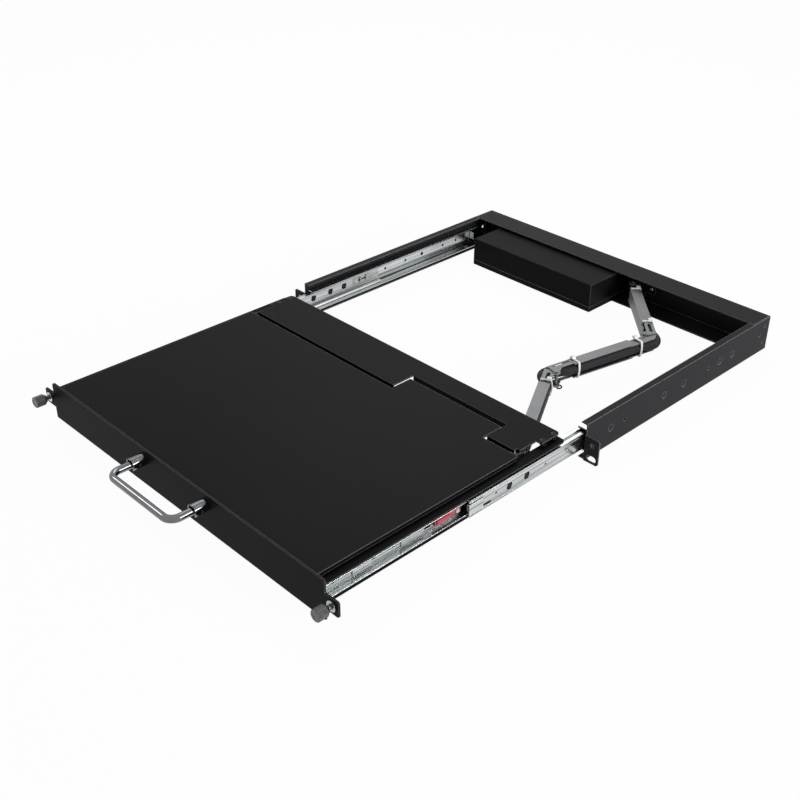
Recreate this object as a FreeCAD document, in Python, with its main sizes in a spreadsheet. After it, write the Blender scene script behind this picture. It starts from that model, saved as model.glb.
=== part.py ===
"""Rack console drawer, one rack unit high: a chassis that bolts into a 19-inch rack, a drawer on
telescopic ball slides, a folding display lid over a keyboard, and a hinged arm that carries the
cable from the chassis to the drawer. The drawer stands fully pulled out, with its lid shut.

Frame: X to the right, Y into the rack, Z up. The origin is midway between the two rack slots, on
the front face of the chassis ears. Chassis pieces are drawn from the ear face (y = 0), drawer and
lid pieces from the back of the front panel (y = 0), both with z = 0 at the foot of the rack unit.
Each piece's Placement then carries it to its place.
"""
import FreeCAD, Part
import Sketcher

import math
import os
import re

Vector = FreeCAD.Vector
DOC = FreeCAD.newDocument("console_drawer")
NODES = []

SIZES = {
    # rack unit and chassis
    "slot_pitch": 465.1,
    "slot_level": 6.35,
    "slot_length": 12,
    "slot_width": 7,
    "ear_tip": 241.3,
    "ear_top": 31,
    "screw_level": 22.225,
    "chassis_width": 447.6,
    "chassis_length": 347,
    "chassis_foot": 0.6,
    "chassis_top": 43.8,
    "sheet": 1.5,
    "top_lip": 8,
    "bottom_lip": 8.5,
    "cross_depth": 33.4,
    # telescopic slides
    "travel": 348,
    "slide_level": 21.8,
    "slide_tall": 27,
    "slide_thick": 12.7,
    "outer_start": 4,
    "outer_length": 298,
    "member_length": 290,
    "middle_start": 6,
    "inner_start": 1,
    "cage_length": 100,
    "ball_size": 2.6,
    # power box at the back of the chassis
    "box_left": -179,
    "box_right": 21,
    "box_front": 263.6,
    "box_back": 345.3,
    "box_foot": 2.3,
    "box_seam": 9,
    "box_top": 39.9,
    "box_wall": 1.2,
    # drawer tray, deck and rear cover
    "wall": 1.2,
    "tray_half": 209.6,
    "tray_foot": 1.6,
    "tray_back": 262,
    "ledge_tip": 221.2,
    "ledge_top": 36.9,
    "ledge_end": 319,
    "bay_left": 140,
    "bay_front": 241,
    "deck_top": 26.3,
    "deck_back": 239.6,
    "bridge_top": 34.2,
    "cover_top": 41.8,
    "cover_front": 262.6,
    "cover_lip": 5.8,
    "hem": 0.8,
    "cover_back": 320,
    "cover_half": 212.5,
    "cover_neck": 205.4,
    "step_left": 29,
    "step_right": 165,
    "step_back": 292.3,
    # front panel and its fittings
    "panel_half": 223.5,
    "panel_foot": 0.4,
    "panel_top": 44,
    "panel_thick": 2,
    "tab_foot": 13.4,
    "tab_top": 30.4,
    "handle_span": 103,
    "handle_shift": 3,
    "handle_level": 32.5,
    "handle_reach": 42,
    "handle_rod": 4,
    "post_radius": 6.8,
    "post_length": 16,
    # lid
    "lid_half": 211,
    "lid_front": 0.8,
    "lid_back": 257,
    "lid_foot": 37.3,
    "lid_tab_left": 32,
    "lid_tab_right": 164.2,
    "lid_tab_back": 285,
    "frame_half": 204,
    "frame_front": 3,
    "frame_back": 238.4,
    "frame_foot": 31.3,
    "view_wide": 344,
    "view_tall": 194,
    "button_side": 188,
    "axle_place": 272,
    "axle_level": 36,
    # keyboard
    "key_pitch": 19,
    "key_top": 30,
    "base_top": 22.7,
    "keys_left": -180.5,
    "keys_front": 96,
    # cable arm
    "arm_foot": 12.5,
    "arm_top": 31,
    "arm_deep": 13,
    "arm_wall": 1.2,
    "arm_cut": 28,
    "pin_radius": 1.7,
    "pin_play": 0.05,
    "eye_radius": 4.2,
    "post_side": 47,
    "post_back": 319,
    "turn_first": -44.6,
    "turn_second": -102.1,
    "turn_third": -60.2,
    "link_first": 128.8,
    "link_second": 143.7,
    "link_third": 158.4,
    "pin_web_side": -1.5,
    "pin_open_side": 15.6,
    "pin_middle": 6.5,
    "sleeve_radius": 6.1,
    "sleeve_side": 8.2,
    "sleeve_bend_one": 14.1,
    "sleeve_bend_two": 16.6,
}

SLIDE_SCREWS = (42.5, 137, 174, 245.5, 271)
WEB_HOLES = (66, 222)
ACCESS_HOLES = (56, 81.5, 179, 207, 230)


# ---------------------------------------------------------------- drawing helpers

def make_sheet():
    """Writes the driving dimensions into the spreadsheet, one named cell each."""
    sheet = DOC.addObject("Spreadsheet::Sheet", "sizes")
    for row, (name, value) in enumerate(SIZES.items(), start=1):
        sheet.set("A%d" % row, name)
        sheet.set("B%d" % row, str(value))
        sheet.setAlias("B%d" % row, name)
    DOC.recompute()


def formula(text):
    """Turns a sum written with the sheet's names into an expression that reads its cells."""
    return re.sub(r"[a-z_]+", lambda word: "sizes." + word[0] if word[0] in SIZES else word[0], str(text))


def bind(item, formulas):
    """Ties properties of an object to sums of the sheet's cells."""
    for path, text in formulas.items():
        item.setExpression(path, formula(text))


def place(item, x="0", y="0", z="0"):
    """Ties an object's place to the sheet."""
    bind(item, {"Placement.Base.x": x, "Placement.Base.y": y, "Placement.Base.z": z})


def on_chassis(item):
    """Carries a piece from the rack unit's foot line to the origin between the slots."""
    place(item, "0", "0", "-slot_level")


def on_drawer(item):
    """Carries a piece out with the drawer."""
    place(item, "0", "-travel", "-slot_level")


def publish(item, label):
    """Names a finished sub-part and lists it for export."""
    item.Label = label
    NODES.append(item)
    return item


def new_body(name):
    """An empty PartDesign body."""
    return DOC.addObject("PartDesign::Body", name)


def new_sketch(body, plane, lift):
    """A sketch on one of the body's own planes, lifted along the plane's world axis."""
    sketch = body.newObject("Sketcher::SketchObject", body.Name + "_sketch")
    base = [f for f in body.Origin.OriginFeatures if f.Role == plane + "_Plane"][0]
    sketch.AttachmentSupport = [(base, "")]
    sketch.MapMode = "FlatFace"
    sign = "-" if plane == "XZ" else ""
    bind(sketch, {"AttachmentOffset.Base.z": "%s(%s)" % (sign, lift)})
    return sketch


def fix(sketch, axis, index, end, text):
    """Holds one coordinate of a point of the sketch at a sum measured from the sketch's origin."""
    point = sketch.getPoint(index, end)
    start = point.x if axis == "DistanceX" else point.y
    number = sketch.addConstraint(Sketcher.Constraint(axis, -1, 1, index, end, start))
    bind(sketch, {"Constraints[%d]" % number: text})


def fix_point(sketch, index, end, x, y):
    """Holds a point of the sketch at two sums measured from the sketch's origin."""
    fix(sketch, "DistanceX", index, end, x)
    fix(sketch, "DistanceY", index, end, y)


def polygon(sketch, corners):
    """A closed outline of straight edges through the corners."""
    count = len(corners)
    first = sketch.GeometryCount
    ring = [Vector(10 * math.cos(2 * math.pi * i / count), 10 * math.sin(2 * math.pi * i / count), 0)
            for i in range(count)]
    for i in range(count):
        sketch.addGeometry(Part.LineSegment(ring[i], ring[(i + 1) % count]), False)
    for i in range(count):
        after = first + (i + 1) % count
        sketch.addConstraint(Sketcher.Constraint("Coincident", first + i, 2, after, 1))
    for i, (x, y) in enumerate(corners):
        fix_point(sketch, first + i, 1, x, y)


def polygons(sketch, outlines):
    """Several closed outlines in one sketch."""
    for corners in outlines:
        polygon(sketch, corners)


def rectangle(sketch, left, bottom, right, top):
    """A rectangle by its four sides."""
    polygon(sketch, [(left, bottom), (right, bottom), (right, top), (left, top)])


def discs(sketch, spots, radius):
    """Circles of one radius about the spots."""
    for x, y in spots:
        index = sketch.addGeometry(Part.Circle(Vector(5, 5, 0), Vector(0, 0, 1), 1), False)
        number = sketch.addConstraint(Sketcher.Constraint("Radius", index, 1.0))
        bind(sketch, {"Constraints[%d]" % number: radius})
        fix_point(sketch, index, 3, x, y)


def long_holes(sketch, spots, length, width):
    """Slots along the sketch's first axis, with round ends."""
    for x, y in spots:
        near, far = ("(%s) %s ((%s) - (%s)) / 2" % (x, sign, length, width) for sign in "-+")
        low, high = ("(%s) %s (%s) / 2" % (y, sign, width) for sign in "-+")
        circles = [Part.Circle(Vector(side, 0, 0), Vector(0, 0, 1), 2) for side in (-5, 5)]
        left, right, under, over = (sketch.addGeometry(item, False) for item in (
            Part.ArcOfCircle(circles[0], math.pi / 2, 3 * math.pi / 2),
            Part.ArcOfCircle(circles[1], -math.pi / 2, math.pi / 2),
            Part.LineSegment(Vector(-5, -2, 0), Vector(5, -2, 0)),
            Part.LineSegment(Vector(5, 2, 0), Vector(-5, 2, 0))))
        for a, b in ((left, under), (under, right), (right, over), (over, left)):
            sketch.addConstraint(Sketcher.Constraint("Coincident", a, 2, b, 1))
        fix_point(sketch, under, 1, near, low)
        fix_point(sketch, under, 2, far, low)
        fix_point(sketch, over, 1, far, high)
        fix_point(sketch, over, 2, near, high)
        fix(sketch, "DistanceX", left, 3, near)
        fix(sketch, "DistanceX", right, 3, far)


def pad(body, plane, start, end, draw, *how):
    """Adds material between two heights along the plane's world axis."""
    sketch = new_sketch(body, plane, start)
    draw(sketch, *how)
    feature = body.newObject("PartDesign::Pad", body.Name + "_pad")
    feature.Profile = sketch
    feature.Reversed = plane == "XZ"
    bind(feature, {"Length": "(%s) - (%s)" % (end, start)})
    return feature


def pocket(body, plane, start, end, draw, *how):
    """Takes material away between two heights along the plane's world axis."""
    DOC.recompute()
    before = body.Shape.Volume
    sketch = new_sketch(body, plane, start)
    draw(sketch, *how)
    feature = body.newObject("PartDesign::Pocket", body.Name + "_pocket")
    feature.Profile = sketch
    feature.Reversed = plane != "XZ"
    bind(feature, {"Length": "(%s) - (%s)" % (end, start)})
    DOC.recompute()
    if body.Shape.Volume > before - 0.01:
        raise RuntimeError("a pocket of %s cuts nothing" % body.Name)
    return feature


def edges_where(item, test):
    """The names of the edges whose middle point passes the test."""
    names = []
    for number, edge in enumerate(item.Shape.Edges, start=1):
        middle = edge.valueAt((edge.FirstParameter + edge.LastParameter) / 2)
        along = (edge.Vertexes[-1].Point - edge.Vertexes[0].Point) if len(edge.Vertexes) > 1 else Vector()
        if test(middle, along):
            names.append("Edge%d" % number)
    return names


def round_edges(body, radius, test):
    """A fillet on the body's edges that pass the test."""
    DOC.recompute()
    tip = body.Tip
    names = edges_where(tip, test)
    if not names:
        raise RuntimeError("no edge of %s to round" % body.Name)
    feature = body.newObject("PartDesign::Fillet", body.Name + "_fillet")
    feature.Base = (tip, names)
    feature.Radius = radius
    return feature


def upright(along):
    """True for an edge that runs along Z."""
    return abs(along.z) > 0.2 and abs(along.x) < 1e-6 and abs(along.y) < 1e-6


def block(left, front, foot, right, back, top):
    """A Part box between two corners."""
    item = DOC.addObject("Part::Box", "block")
    bind(item, {"Length": "(%s) - (%s)" % (right, left), "Width": "(%s) - (%s)" % (back, front),
                "Height": "(%s) - (%s)" % (top, foot)})
    place(item, left, front, foot)
    return item


TURNS = {"X": (Vector(0, 1, 0), 90), "Y": (Vector(1, 0, 0), -90), "Z": (Vector(0, 0, 1), 0)}


def rod(axis, x, y, z, radius, length):
    """A Part cylinder that starts at the point and runs along a world axis."""
    item = DOC.addObject("Part::Cylinder", "rod")
    turn, angle = TURNS[axis]
    item.Placement = FreeCAD.Placement(Vector(), FreeCAD.Rotation(turn, angle))
    bind(item, {"Radius": radius, "Height": length})
    place(item, x, y, z)
    return item


def ball(x, y, z, radius):
    """A Part sphere."""
    item = DOC.addObject("Part::Sphere", "ball")
    bind(item, {"Radius": radius})
    place(item, x, y, z)
    return item


def cut(base, *tools):
    """The base less the tools."""
    for tool in tools:
        item = DOC.addObject("Part::Cut", "cut")
        item.Base = base
        item.Tool = tool
        base = item
    return base


def fuse(*items):
    """One solid from several that meet."""
    item = DOC.addObject("Part::MultiFuse", "fuse")
    item.Shapes = list(items)
    item.Refine = True
    return item


def group(*items):
    """Separate solids that share one node."""
    item = DOC.addObject("Part::Compound", "group")
    item.Links = list(items)
    return item


def mirrored(source, label):
    """The left-hand twin of a right-hand piece."""
    item = DOC.addObject("Part::Mirroring", "mirror")
    item.Source = source
    item.Normal = Vector(1, 0, 0)
    return publish(item, label)


def pair(item, label):
    """One node that holds a right-hand piece and its left-hand twin, which never move apart."""
    twin = DOC.addObject("Part::Mirroring", "mirror")
    twin.Source = item
    twin.Normal = Vector(1, 0, 0)
    return publish(group(item, twin), label)


def both_sides(item, name):
    """Publishes a right-hand piece and its left-hand twin."""
    publish(item, "right_" + name)
    mirrored(item, "left_" + name)


# ---------------------------------------------------------------- chassis

HALF = "chassis_width / 2"


def side_rail():
    """Channel of folded sheet: tall web outside, two inward lips and a rack ear at the front."""
    body = new_body("side_rail")
    inner = HALF + " - sheet"
    pad(body, "XZ", "sheet", "chassis_length", polygon, [
        (HALF, "chassis_foot"), (HALF, "chassis_top"),
        (HALF + " - top_lip", "chassis_top"), (HALF + " - top_lip", "chassis_top - sheet"),
        (inner, "chassis_top - sheet"), (inner, "chassis_foot + sheet"),
        (HALF + " - bottom_lip", "chassis_foot + sheet"), (HALF + " - bottom_lip", "chassis_foot")])
    pad(body, "XZ", "0", "sheet", rectangle, inner, "chassis_foot", "ear_tip", "ear_top")
    round_edges(body, 3, lambda m, a: abs(m.x - SIZES["ear_tip"]) < 0.01 and abs(a.y) > 1)
    round_edges(body, 1.2, lambda m, a: upright(a) and abs(m.y) < 0.01 and m.x < 223)
    pocket(body, "XZ", "-1", "sheet + 1", long_holes, [("slot_pitch / 2", "slot_level")],
           "slot_length", "slot_width")
    pocket(body, "XZ", "-1", "sheet + 1", discs, [("slot_pitch / 2", "screw_level")], "2.5")
    cross = "chassis_length - cross_depth - 0.2"
    pocket(body, "XY", "chassis_foot - 1", "chassis_top + 1", rectangle,
           HALF + " - 12", cross, inner, "chassis_length + 1")
    pocket(body, "YZ", inner + " - 1", HALF + " + 1", discs,
           [(y, "slide_level") for y in SLIDE_SCREWS], "2.1")
    pocket(body, "YZ", HALF + " - 0.9", HALF + " + 1", discs,
           [(y, "slide_level") for y in SLIDE_SCREWS], "4")
    pocket(body, "YZ", inner + " - 1", HALF + " + 1", discs,
           [(y, "slide_level") for y in WEB_HOLES] + [(328, 24.5)], "2.1")
    pocket(body, "YZ", inner + " - 1", HALF + " + 1", discs, [(338, 34), (338, 12)], "1.6")
    on_chassis(body)
    both_sides(body, "side_rail")


def rear_crossmember():
    """Channel across the back, open to the front, with end tabs and cut-outs for the sockets."""
    body = new_body("rear_crossmember")
    end = "(%s - sheet - 0.1)" % HALF
    front = "chassis_length - cross_depth"
    pad(body, "YZ", "-" + end, end, polygon, [
        (front, "chassis_top"), ("chassis_length", "chassis_top"), ("chassis_length", "chassis_foot"),
        (front, "chassis_foot"), (front, "chassis_foot + sheet"),
        ("chassis_length - sheet", "chassis_foot + sheet"),
        ("chassis_length - sheet", "chassis_top - sheet"), (front, "chassis_top - sheet")])
    for start, stop in (("-" + end, "-%s + sheet" % end), (end + " - sheet", end)):
        pad(body, "YZ", start, stop, rectangle, "331", "chassis_foot + sheet", "chassis_length - sheet",
            "chassis_top - sheet")
    pocket(body, "YZ", "-230", "230", discs, [(338, 34), (338, 12)], "1.6")
    pocket(body, "XZ", "chassis_length - sheet - 0.5", "chassis_length + 1", polygons, [
        [(-164.5, 11.8), (-135.5, 11.8), (-135.5, 32.2), (-164.5, 32.2)],
        [(-66, 17.4), (-44, 17.4), (-44, 26.6), (-66, 26.6)]])
    on_chassis(body)
    publish(body, "rear_crossmember")


def power_box():
    """Two-part steel box in front of the crossmember: a shallow pan and a deep lid over it."""
    pan = new_body("power_box_pan")
    lid = new_body("power_box_cover")
    sides = ("box_left", "box_front", "box_right", "box_back")
    inner = ("box_left + box_wall", "box_front + box_wall", "box_right - box_wall", "box_back + 1")
    pad(pan, "XY", "box_foot", "box_seam", rectangle, *sides)
    pocket(pan, "XY", "box_foot + box_wall", "box_seam + 1", rectangle, *inner)
    pad(lid, "XY", "box_seam", "box_top", rectangle, *sides)
    round_edges(lid, 1.2, lambda m, a: m.z > SIZES["box_top"] - 0.01)
    pocket(lid, "XY", "box_seam - 1", "box_top - box_wall", rectangle, *inner)
    for body in (pan, lid):
        on_chassis(body)
        publish(body, body.Name)


def power_board():
    """Circuit board of the power box: transformer, capacitors, heat sink and connectors."""
    parts = [block("-172", "272", "6", "14", "338", "7.6"),
             block("-60", "284", "7.6", "-28", "312", "27"),
             block("-12", "280", "7.6", "-9", "318", "28"),
             block("-6", "284", "7.6", "8", "292", "16")]
    for x, y in ((-92, 288), (-92, 306), (-112, 288)):
        parts.append(rod("Z", x, y, "7.6", "7", "20"))
    board = fuse(*parts)
    on_chassis(board)
    publish(board, "power_board")


def sockets():
    """Mains inlet with its three pins, and the video socket, in the crossmember's web."""
    shell = cut(fuse(block("-164.2", "330", "12.1", "-135.8", "347", "31.9"),
                     block("-168", "347", "10", "-132", "348.6", "34")),
                block("-162", "333", "14", "-138", "349", "30"))
    pins = [block("%s - 1" % x, "332.5", "%s - 2.5" % z, "%s + 1" % x, "345", "%s + 2.5" % z)
            for x, z in ((-157, 20), (-143, 20), (-150, 25))]
    inlet = fuse(shell, *pins)
    video = cut(fuse(block("-65.5", "338", "17.8", "-44.5", "351", "26.2"),
                     block("-71", "347", "15.8", "-39", "348.2", "28.2")),
                block("-64.5", "342", "18.8", "-45.5", "352", "25.2"))
    for item, name in ((inlet, "power_inlet"), (video, "video_socket")):
        on_chassis(item)
        publish(item, name)


# ---------------------------------------------------------------- telescopic slides

BACK = "(chassis_width / 2 - sheet)"


def across(depth):
    """The x of a point that lies a depth in from the slide's mounting face."""
    return "%s - %s" % (BACK, depth)


def section(points):
    """A slide section from (depth, height above the slide's middle) pairs."""
    return [(across(depth), "slide_level + (%s)" % height) for depth, height in points]


def mirror_points(points):
    """Adds the lower half of a section that is the same above and below the middle."""
    return points + [(depth, "-(%s)" % height) for depth, height in reversed(points)]


def slide_outer():
    """Outer member: a plain channel screwed to the rail, with a bent stop at its back."""
    body = new_body("slide_outer")
    half = "slide_tall / 2"
    pad(body, "XZ", "outer_start", "outer_start + outer_length", polygon, section(mirror_points([
        (1.1, half + " - 1.1"), (12.3, half + " - 1.1"), (12.3, half), (0, half)])))
    pocket(body, "YZ", across(2), across(-1), discs,
           [(y, "slide_level") for y in SLIDE_SCREWS], "1.8")
    pocket(body, "YZ", across(2), across(-1), discs,
           [(y, "slide_level") for y in (22, 92, 115, 205)], "2.4")
    end = "outer_start + outer_length"
    pad(body, "XZ", end + " - 3.2", end + " - 1.8", rectangle,
        across(9), "slide_level - 5", across(0.6), "slide_level + 5")
    on_chassis(body)
    both_sides(body, "slide_outer")


def slide_middle():
    """Middle member: stepped channel with a ball track outside and another one inside, and a rolled
    groove along each edge of its web."""
    body = new_body("slide_middle")
    pad(body, "XZ", "0", "member_length", polygon, section(mirror_points([
        (3.4, 6.05), (4.1, 6.6), (4.1, 8.6), (8.3, 8.6), (9.3, 11), (12.3, 11), (12.3, 12), (8.6, 12),
        (7.6, 9.6), (2.4, 9.6), (2.4, 8.8), (3, 8.4), (3, 7.1), (2.4, 6.7)])))
    for y in ACCESS_HOLES:
        pocket(body, "YZ", across(4), across(0), polygon, [
            (y - 4, "slide_level - 1"), (y - 2, "slide_level - 4"), (y + 2.5, "slide_level - 4"),
            (y + 4.5, "slide_level + 1"), (y + 2.5, "slide_level + 3.5"), (y - 2.5, "slide_level + 3.5")])
    small = ((9, 3), (18, 3), (37, 1), (110, 0), (145, 0))
    pocket(body, "YZ", across(4), across(0), discs,
           [(y, "slide_level + (%s)" % rise) for y, rise in small], "1.3")
    pocket(body, "YZ", across(4), across(0), long_holes,
           [(22, "slide_level - 4.5"), (262, "slide_level")], "16", "2.4")
    place(body, "0", "middle_start - travel / 2", "-slot_level")
    both_sides(body, "slide_middle")


def slide_inner():
    """Inner member: channel on the drawer's wall, with pressed pads and the lever's window."""
    body = new_body("slide_inner")
    pad(body, "XZ", "inner_start", "inner_start + member_length", polygon, section(mirror_points([
        (11.6, 7.3), (5.6, 7.3), (5.6, 8.3), (12.7, 8.3)])))
    for start, stop in ((40, 63), (99, 128)):
        pad(body, "YZ", across(11.6), across(10.6), rectangle,
            start, "slide_level - 4.5", stop, "slide_level + 5")
    pad(body, "YZ", across(11.7), across(9.2), discs, [("171", "slide_level")], "1.5")
    pad(body, "YZ", across(9.2), across(8.7), discs, [("171", "slide_level")], "2.6")
    pocket(body, "YZ", across(13), across(10), discs,
           [(y, "slide_level + 1") for y in (3.5, 18, 66, 90, 205, 240, 270)], "1.8")
    pocket(body, "YZ", across(13), across(10), long_holes, [("134", "slide_level")], "10", "4")
    on_drawer(body)
    both_sides(body, "slide_inner")


def slide_stop():
    """Moulded stop clipped over the front edge of the middle member's web."""
    clip = cut(block(across(4.6), "-1.4", "slide_level - 6", across(1.35), "18", "slide_level + 6"),
               block(across(3.45), "0", "slide_level - 7", across(2.35), "19", "slide_level + 7"))
    place(clip, "0", "middle_start - travel / 2", "-slot_level")
    both_sides(clip, "slide_stop")


def outer_cage():
    """Retainer between outer and middle member: a bent strip with a row of balls on each edge."""
    parts = [cut(block(across(7.2), "8", "slide_level - 11.3", across(1.45), "8 + cage_length",
                       "slide_level + 11.3"),
                 block(across(7.3), "7", "slide_level - 10.7", across(2.05), "9 + cage_length",
                       "slide_level + 10.7"))]
    for y in (14, 44, 74, 102):
        for level in ("slide_level + 11", "slide_level - 11"):
            parts.append(ball(across(5), y, level, "ball_size / 2"))
    cage = fuse(*parts)
    on_chassis(cage)
    both_sides(cage, "outer_ball_cage")


def inner_cage():
    """Retainer between middle and inner member: two strips, each with its row of balls."""
    strips = []
    start = "middle_start + 4"
    for sign in (1, -1):
        low, high = sorted((sign * 9.35, sign * 9.95))
        parts = [block(across(12.1), start, "slide_level + (%s)" % low, across(9.75),
                       start + " + cage_length", "slide_level + (%s)" % high)]
        for y in (6, 36, 66, 94):
            parts.append(ball(across(10.8), "%s + %s" % (start, y), "slide_level + (%s)" % (sign * 9.65),
                              "1.25"))
        strips.append(fuse(*parts))
    cage = group(*strips)
    place(cage, "0", "-travel / 2", "-slot_level")
    both_sides(cage, "inner_ball_cage")


def release_lever():
    """Plastic lever in the inner member that frees the drawer, on a small rivet."""
    body = new_body("release_lever")
    pad(body, "YZ", across(11.4), across(9.4), polygon, [
        (141, "slide_level - 2.6"), (152, "slide_level - 2.6"), (166, "slide_level - 1.8"),
        (175, "slide_level - 3"), (175, "slide_level + 3"), (166, "slide_level + 3.4"),
        (141, "slide_level + 3.4")])
    pad(body, "YZ", across(9.5), across(8.2), rectangle,
        "143", "slide_level - 1.6", "160", "slide_level + 2.4")
    pocket(body, "YZ", across(12), across(9), discs, [("171", "slide_level")], "1.55")
    on_drawer(body)
    both_sides(body, "release_lever")


def rail_screws():
    """Five screws through each rail into the slide's outer member, in one node."""
    screws = [fuse(rod("X", HALF + " - 0.85", y, "slide_level", "3.8", "0.8"),
                   rod("X", across(0.9), y, "slide_level", "1.7", "2.1")) for y in SLIDE_SCREWS]
    item = group(*screws)
    on_chassis(item)
    pair(item, "rail_screws")


# ---------------------------------------------------------------- drawer

def drawer_tray():
    """Folded tray: floor, side walls with an outward ledge over the slides, and a back wall with
    a bay for the cable arm."""
    body = new_body("drawer_tray")
    inner = "(tray_half - wall)"
    side = [("tray_half", "tray_foot"), ("tray_half", "ledge_top - wall"),
            ("ledge_tip", "ledge_top - wall"), ("ledge_tip", "ledge_top"),
            (inner, "ledge_top"), (inner, "tray_foot + wall")]
    pad(body, "XZ", "0", "ledge_end", polygon,
        side + [("-(%s)" % x, z) for x, z in reversed(side)])
    pocket(body, "XY", "tray_foot - 1", "tray_foot + wall + 0.5", rectangle,
           "-" + inner, "tray_back", inner, "ledge_end + 1")
    round_edges(body, 6, lambda m, a: upright(a) and abs(m.y - SIZES["ledge_end"]) < 0.01
                and abs(m.x) > SIZES["ledge_tip"] - 0.01)
    pocket(body, "XY", "tray_foot - 1", "6", rectangle,
           "-tray_half - 1", "tray_back", "tray_half + 1", "ledge_end + 1")
    pad(body, "XZ", "tray_back - wall", "tray_back", rectangle,
        "-" + inner, "tray_foot + wall", inner, "36")
    pad(body, "XZ", "0", "wall", rectangle, "-" + inner, "tray_foot + wall", inner, "deck_top - 1.5")
    pocket(body, "XZ", "tray_back - wall - 0.5", "tray_back + 0.5", rectangle,
           "bay_left", "8", "tray_half - wall", "32.6")
    pad(body, "XY", "tray_foot + wall", "deck_top - 1.6", polygon, [
        ("bay_left - wall", "tray_back - wall"), ("bay_left - wall", "bay_front - wall"),
        (inner, "bay_front - wall"), (inner, "bay_front"), ("bay_left", "bay_front"),
        ("bay_left", "tray_back - wall")])
    on_drawer(body)
    publish(body, "drawer_tray")


def keyboard_deck():
    """Pressed deck over the tray: openings for the keys, the touch pad and its buttons, and a strip
    at the back that steps up over the arm's bay."""
    body = new_body("keyboard_deck")
    pad(body, "XY", "deck_top - 1.5", "deck_top", rectangle, "-208.2", "1.4", "208.2", "deck_back")
    pocket(body, "XY", "deck_top - 2.5", "deck_top + 1", polygons, [
        [("keys_left - 1", "keys_front - 1"), ("keys_left + 19 * key_pitch + 4", "keys_front - 1"),
         ("keys_left + 19 * key_pitch + 4", "keys_front + 6 * key_pitch + 1"),
         ("keys_left - 1", "keys_front + 6 * key_pitch + 1")],
        [(-34, 36), (34, 36), (34, 84), (-34, 84)],
        [(-34, 20), (34, 20), (34, 34), (-34, 34)]])
    pad(body, "YZ", "-204", "204", polygon, [
        ("deck_back - 1.2", "deck_top"), ("deck_back", "deck_top"),
        ("deck_back", "bridge_top - wall"), ("tray_back - wall - 0.2", "bridge_top - wall"),
        ("tray_back - wall - 0.2", "bridge_top"), ("deck_back - 1.2", "bridge_top")])
    on_drawer(body)
    publish(body, "keyboard_deck")


GAPS = (0.5, 0.25)
SPACE_BAR = 6.25
# Widths of the keys in each row from the left, in key pitches. A half or a quarter is a gap.
KEY_ROWS = (
    ((1,) + (0.5,) + (1,) * 4 + (0.25,) + (1,) * 4 + (0.25,) + (1,) * 4, 5),
    ((1,) * 13 + (2,), 4),
    ((1.5,) + (1,) * 12 + (1.5,), 3),
    ((1.75,) + (1,) * 11 + (2.25,), 2),
    ((2.25,) + (1,) * 10 + (2.75,), 1),
    ((1.25,) * 3 + (SPACE_BAR,) + (1.25,) * 4, 0),
)
NUMBER_PAD = ((0, 5, 1, 1), (1, 5, 1, 1), (2, 5, 1, 1), (3, 5, 1, 1), (0, 4, 1, 1), (1, 4, 1, 1),
              (2, 4, 1, 1), (3, 4, 1, 1), (0, 3, 1, 1), (1, 3, 1, 1), (2, 3, 1, 1), (3, 2, 1, 2),
              (0, 2, 1, 1), (1, 2, 1, 1), (2, 2, 1, 1), (0, 1, 1, 1), (1, 1, 1, 1), (2, 1, 1, 1),
              (3, 0, 1, 2), (0, 0, 2, 1), (2, 0, 1, 1))


def key_places():
    """Left edge, front edge, width and depth of each key, in key pitches; the space bar is apart."""
    keys, space = [], None
    for widths, row in KEY_ROWS:
        left = 0
        for width in widths:
            if width == SPACE_BAR:
                space = (left, row, width, 1)
            elif width not in GAPS:
                keys.append((left, row, width, 1))
            left += width
    keys += [(15.15 + left, row, wide, deep) for left, row, wide, deep in NUMBER_PAD]
    return keys, space


def key_cap(left, row, wide, deep):
    """One key cap: a block that narrows towards its top."""
    pitch, gap, taper = SIZES["key_pitch"], 1.6, 1.4
    x0, y0 = SIZES["keys_left"] + left * pitch + gap / 2, SIZES["keys_front"] + row * pitch + gap / 2
    x1, y1 = x0 + wide * pitch - gap, y0 + deep * pitch - gap
    foot, top = SIZES["deck_top"] - 0.9, SIZES["key_top"]
    loops = [Part.makePolygon([Vector(x0 + i, y0 + i, z), Vector(x1 - i, y0 + i, z),
                               Vector(x1 - i, y1 - i, z), Vector(x0 + i, y1 - i, z),
                               Vector(x0 + i, y0 + i, z)])
             for i, z in ((0, foot), (taper, top))]
    return Part.makeLoft(loops, True, True)


STEM_PLACES = (0.15, 0.85)


def stem(key, part, foot):
    """The square stem under a key cap, a part of the way along the key."""
    pitch, side = SIZES["key_pitch"], 4
    x = SIZES["keys_left"] + (key[0] + key[2] * part) * pitch
    y = SIZES["keys_front"] + (key[1] + key[3] / 2) * pitch
    return Part.makeBox(side, side, SIZES["deck_top"] - 0.5 - foot,
                        Vector(x - side / 2, y - side / 2, foot))


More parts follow.
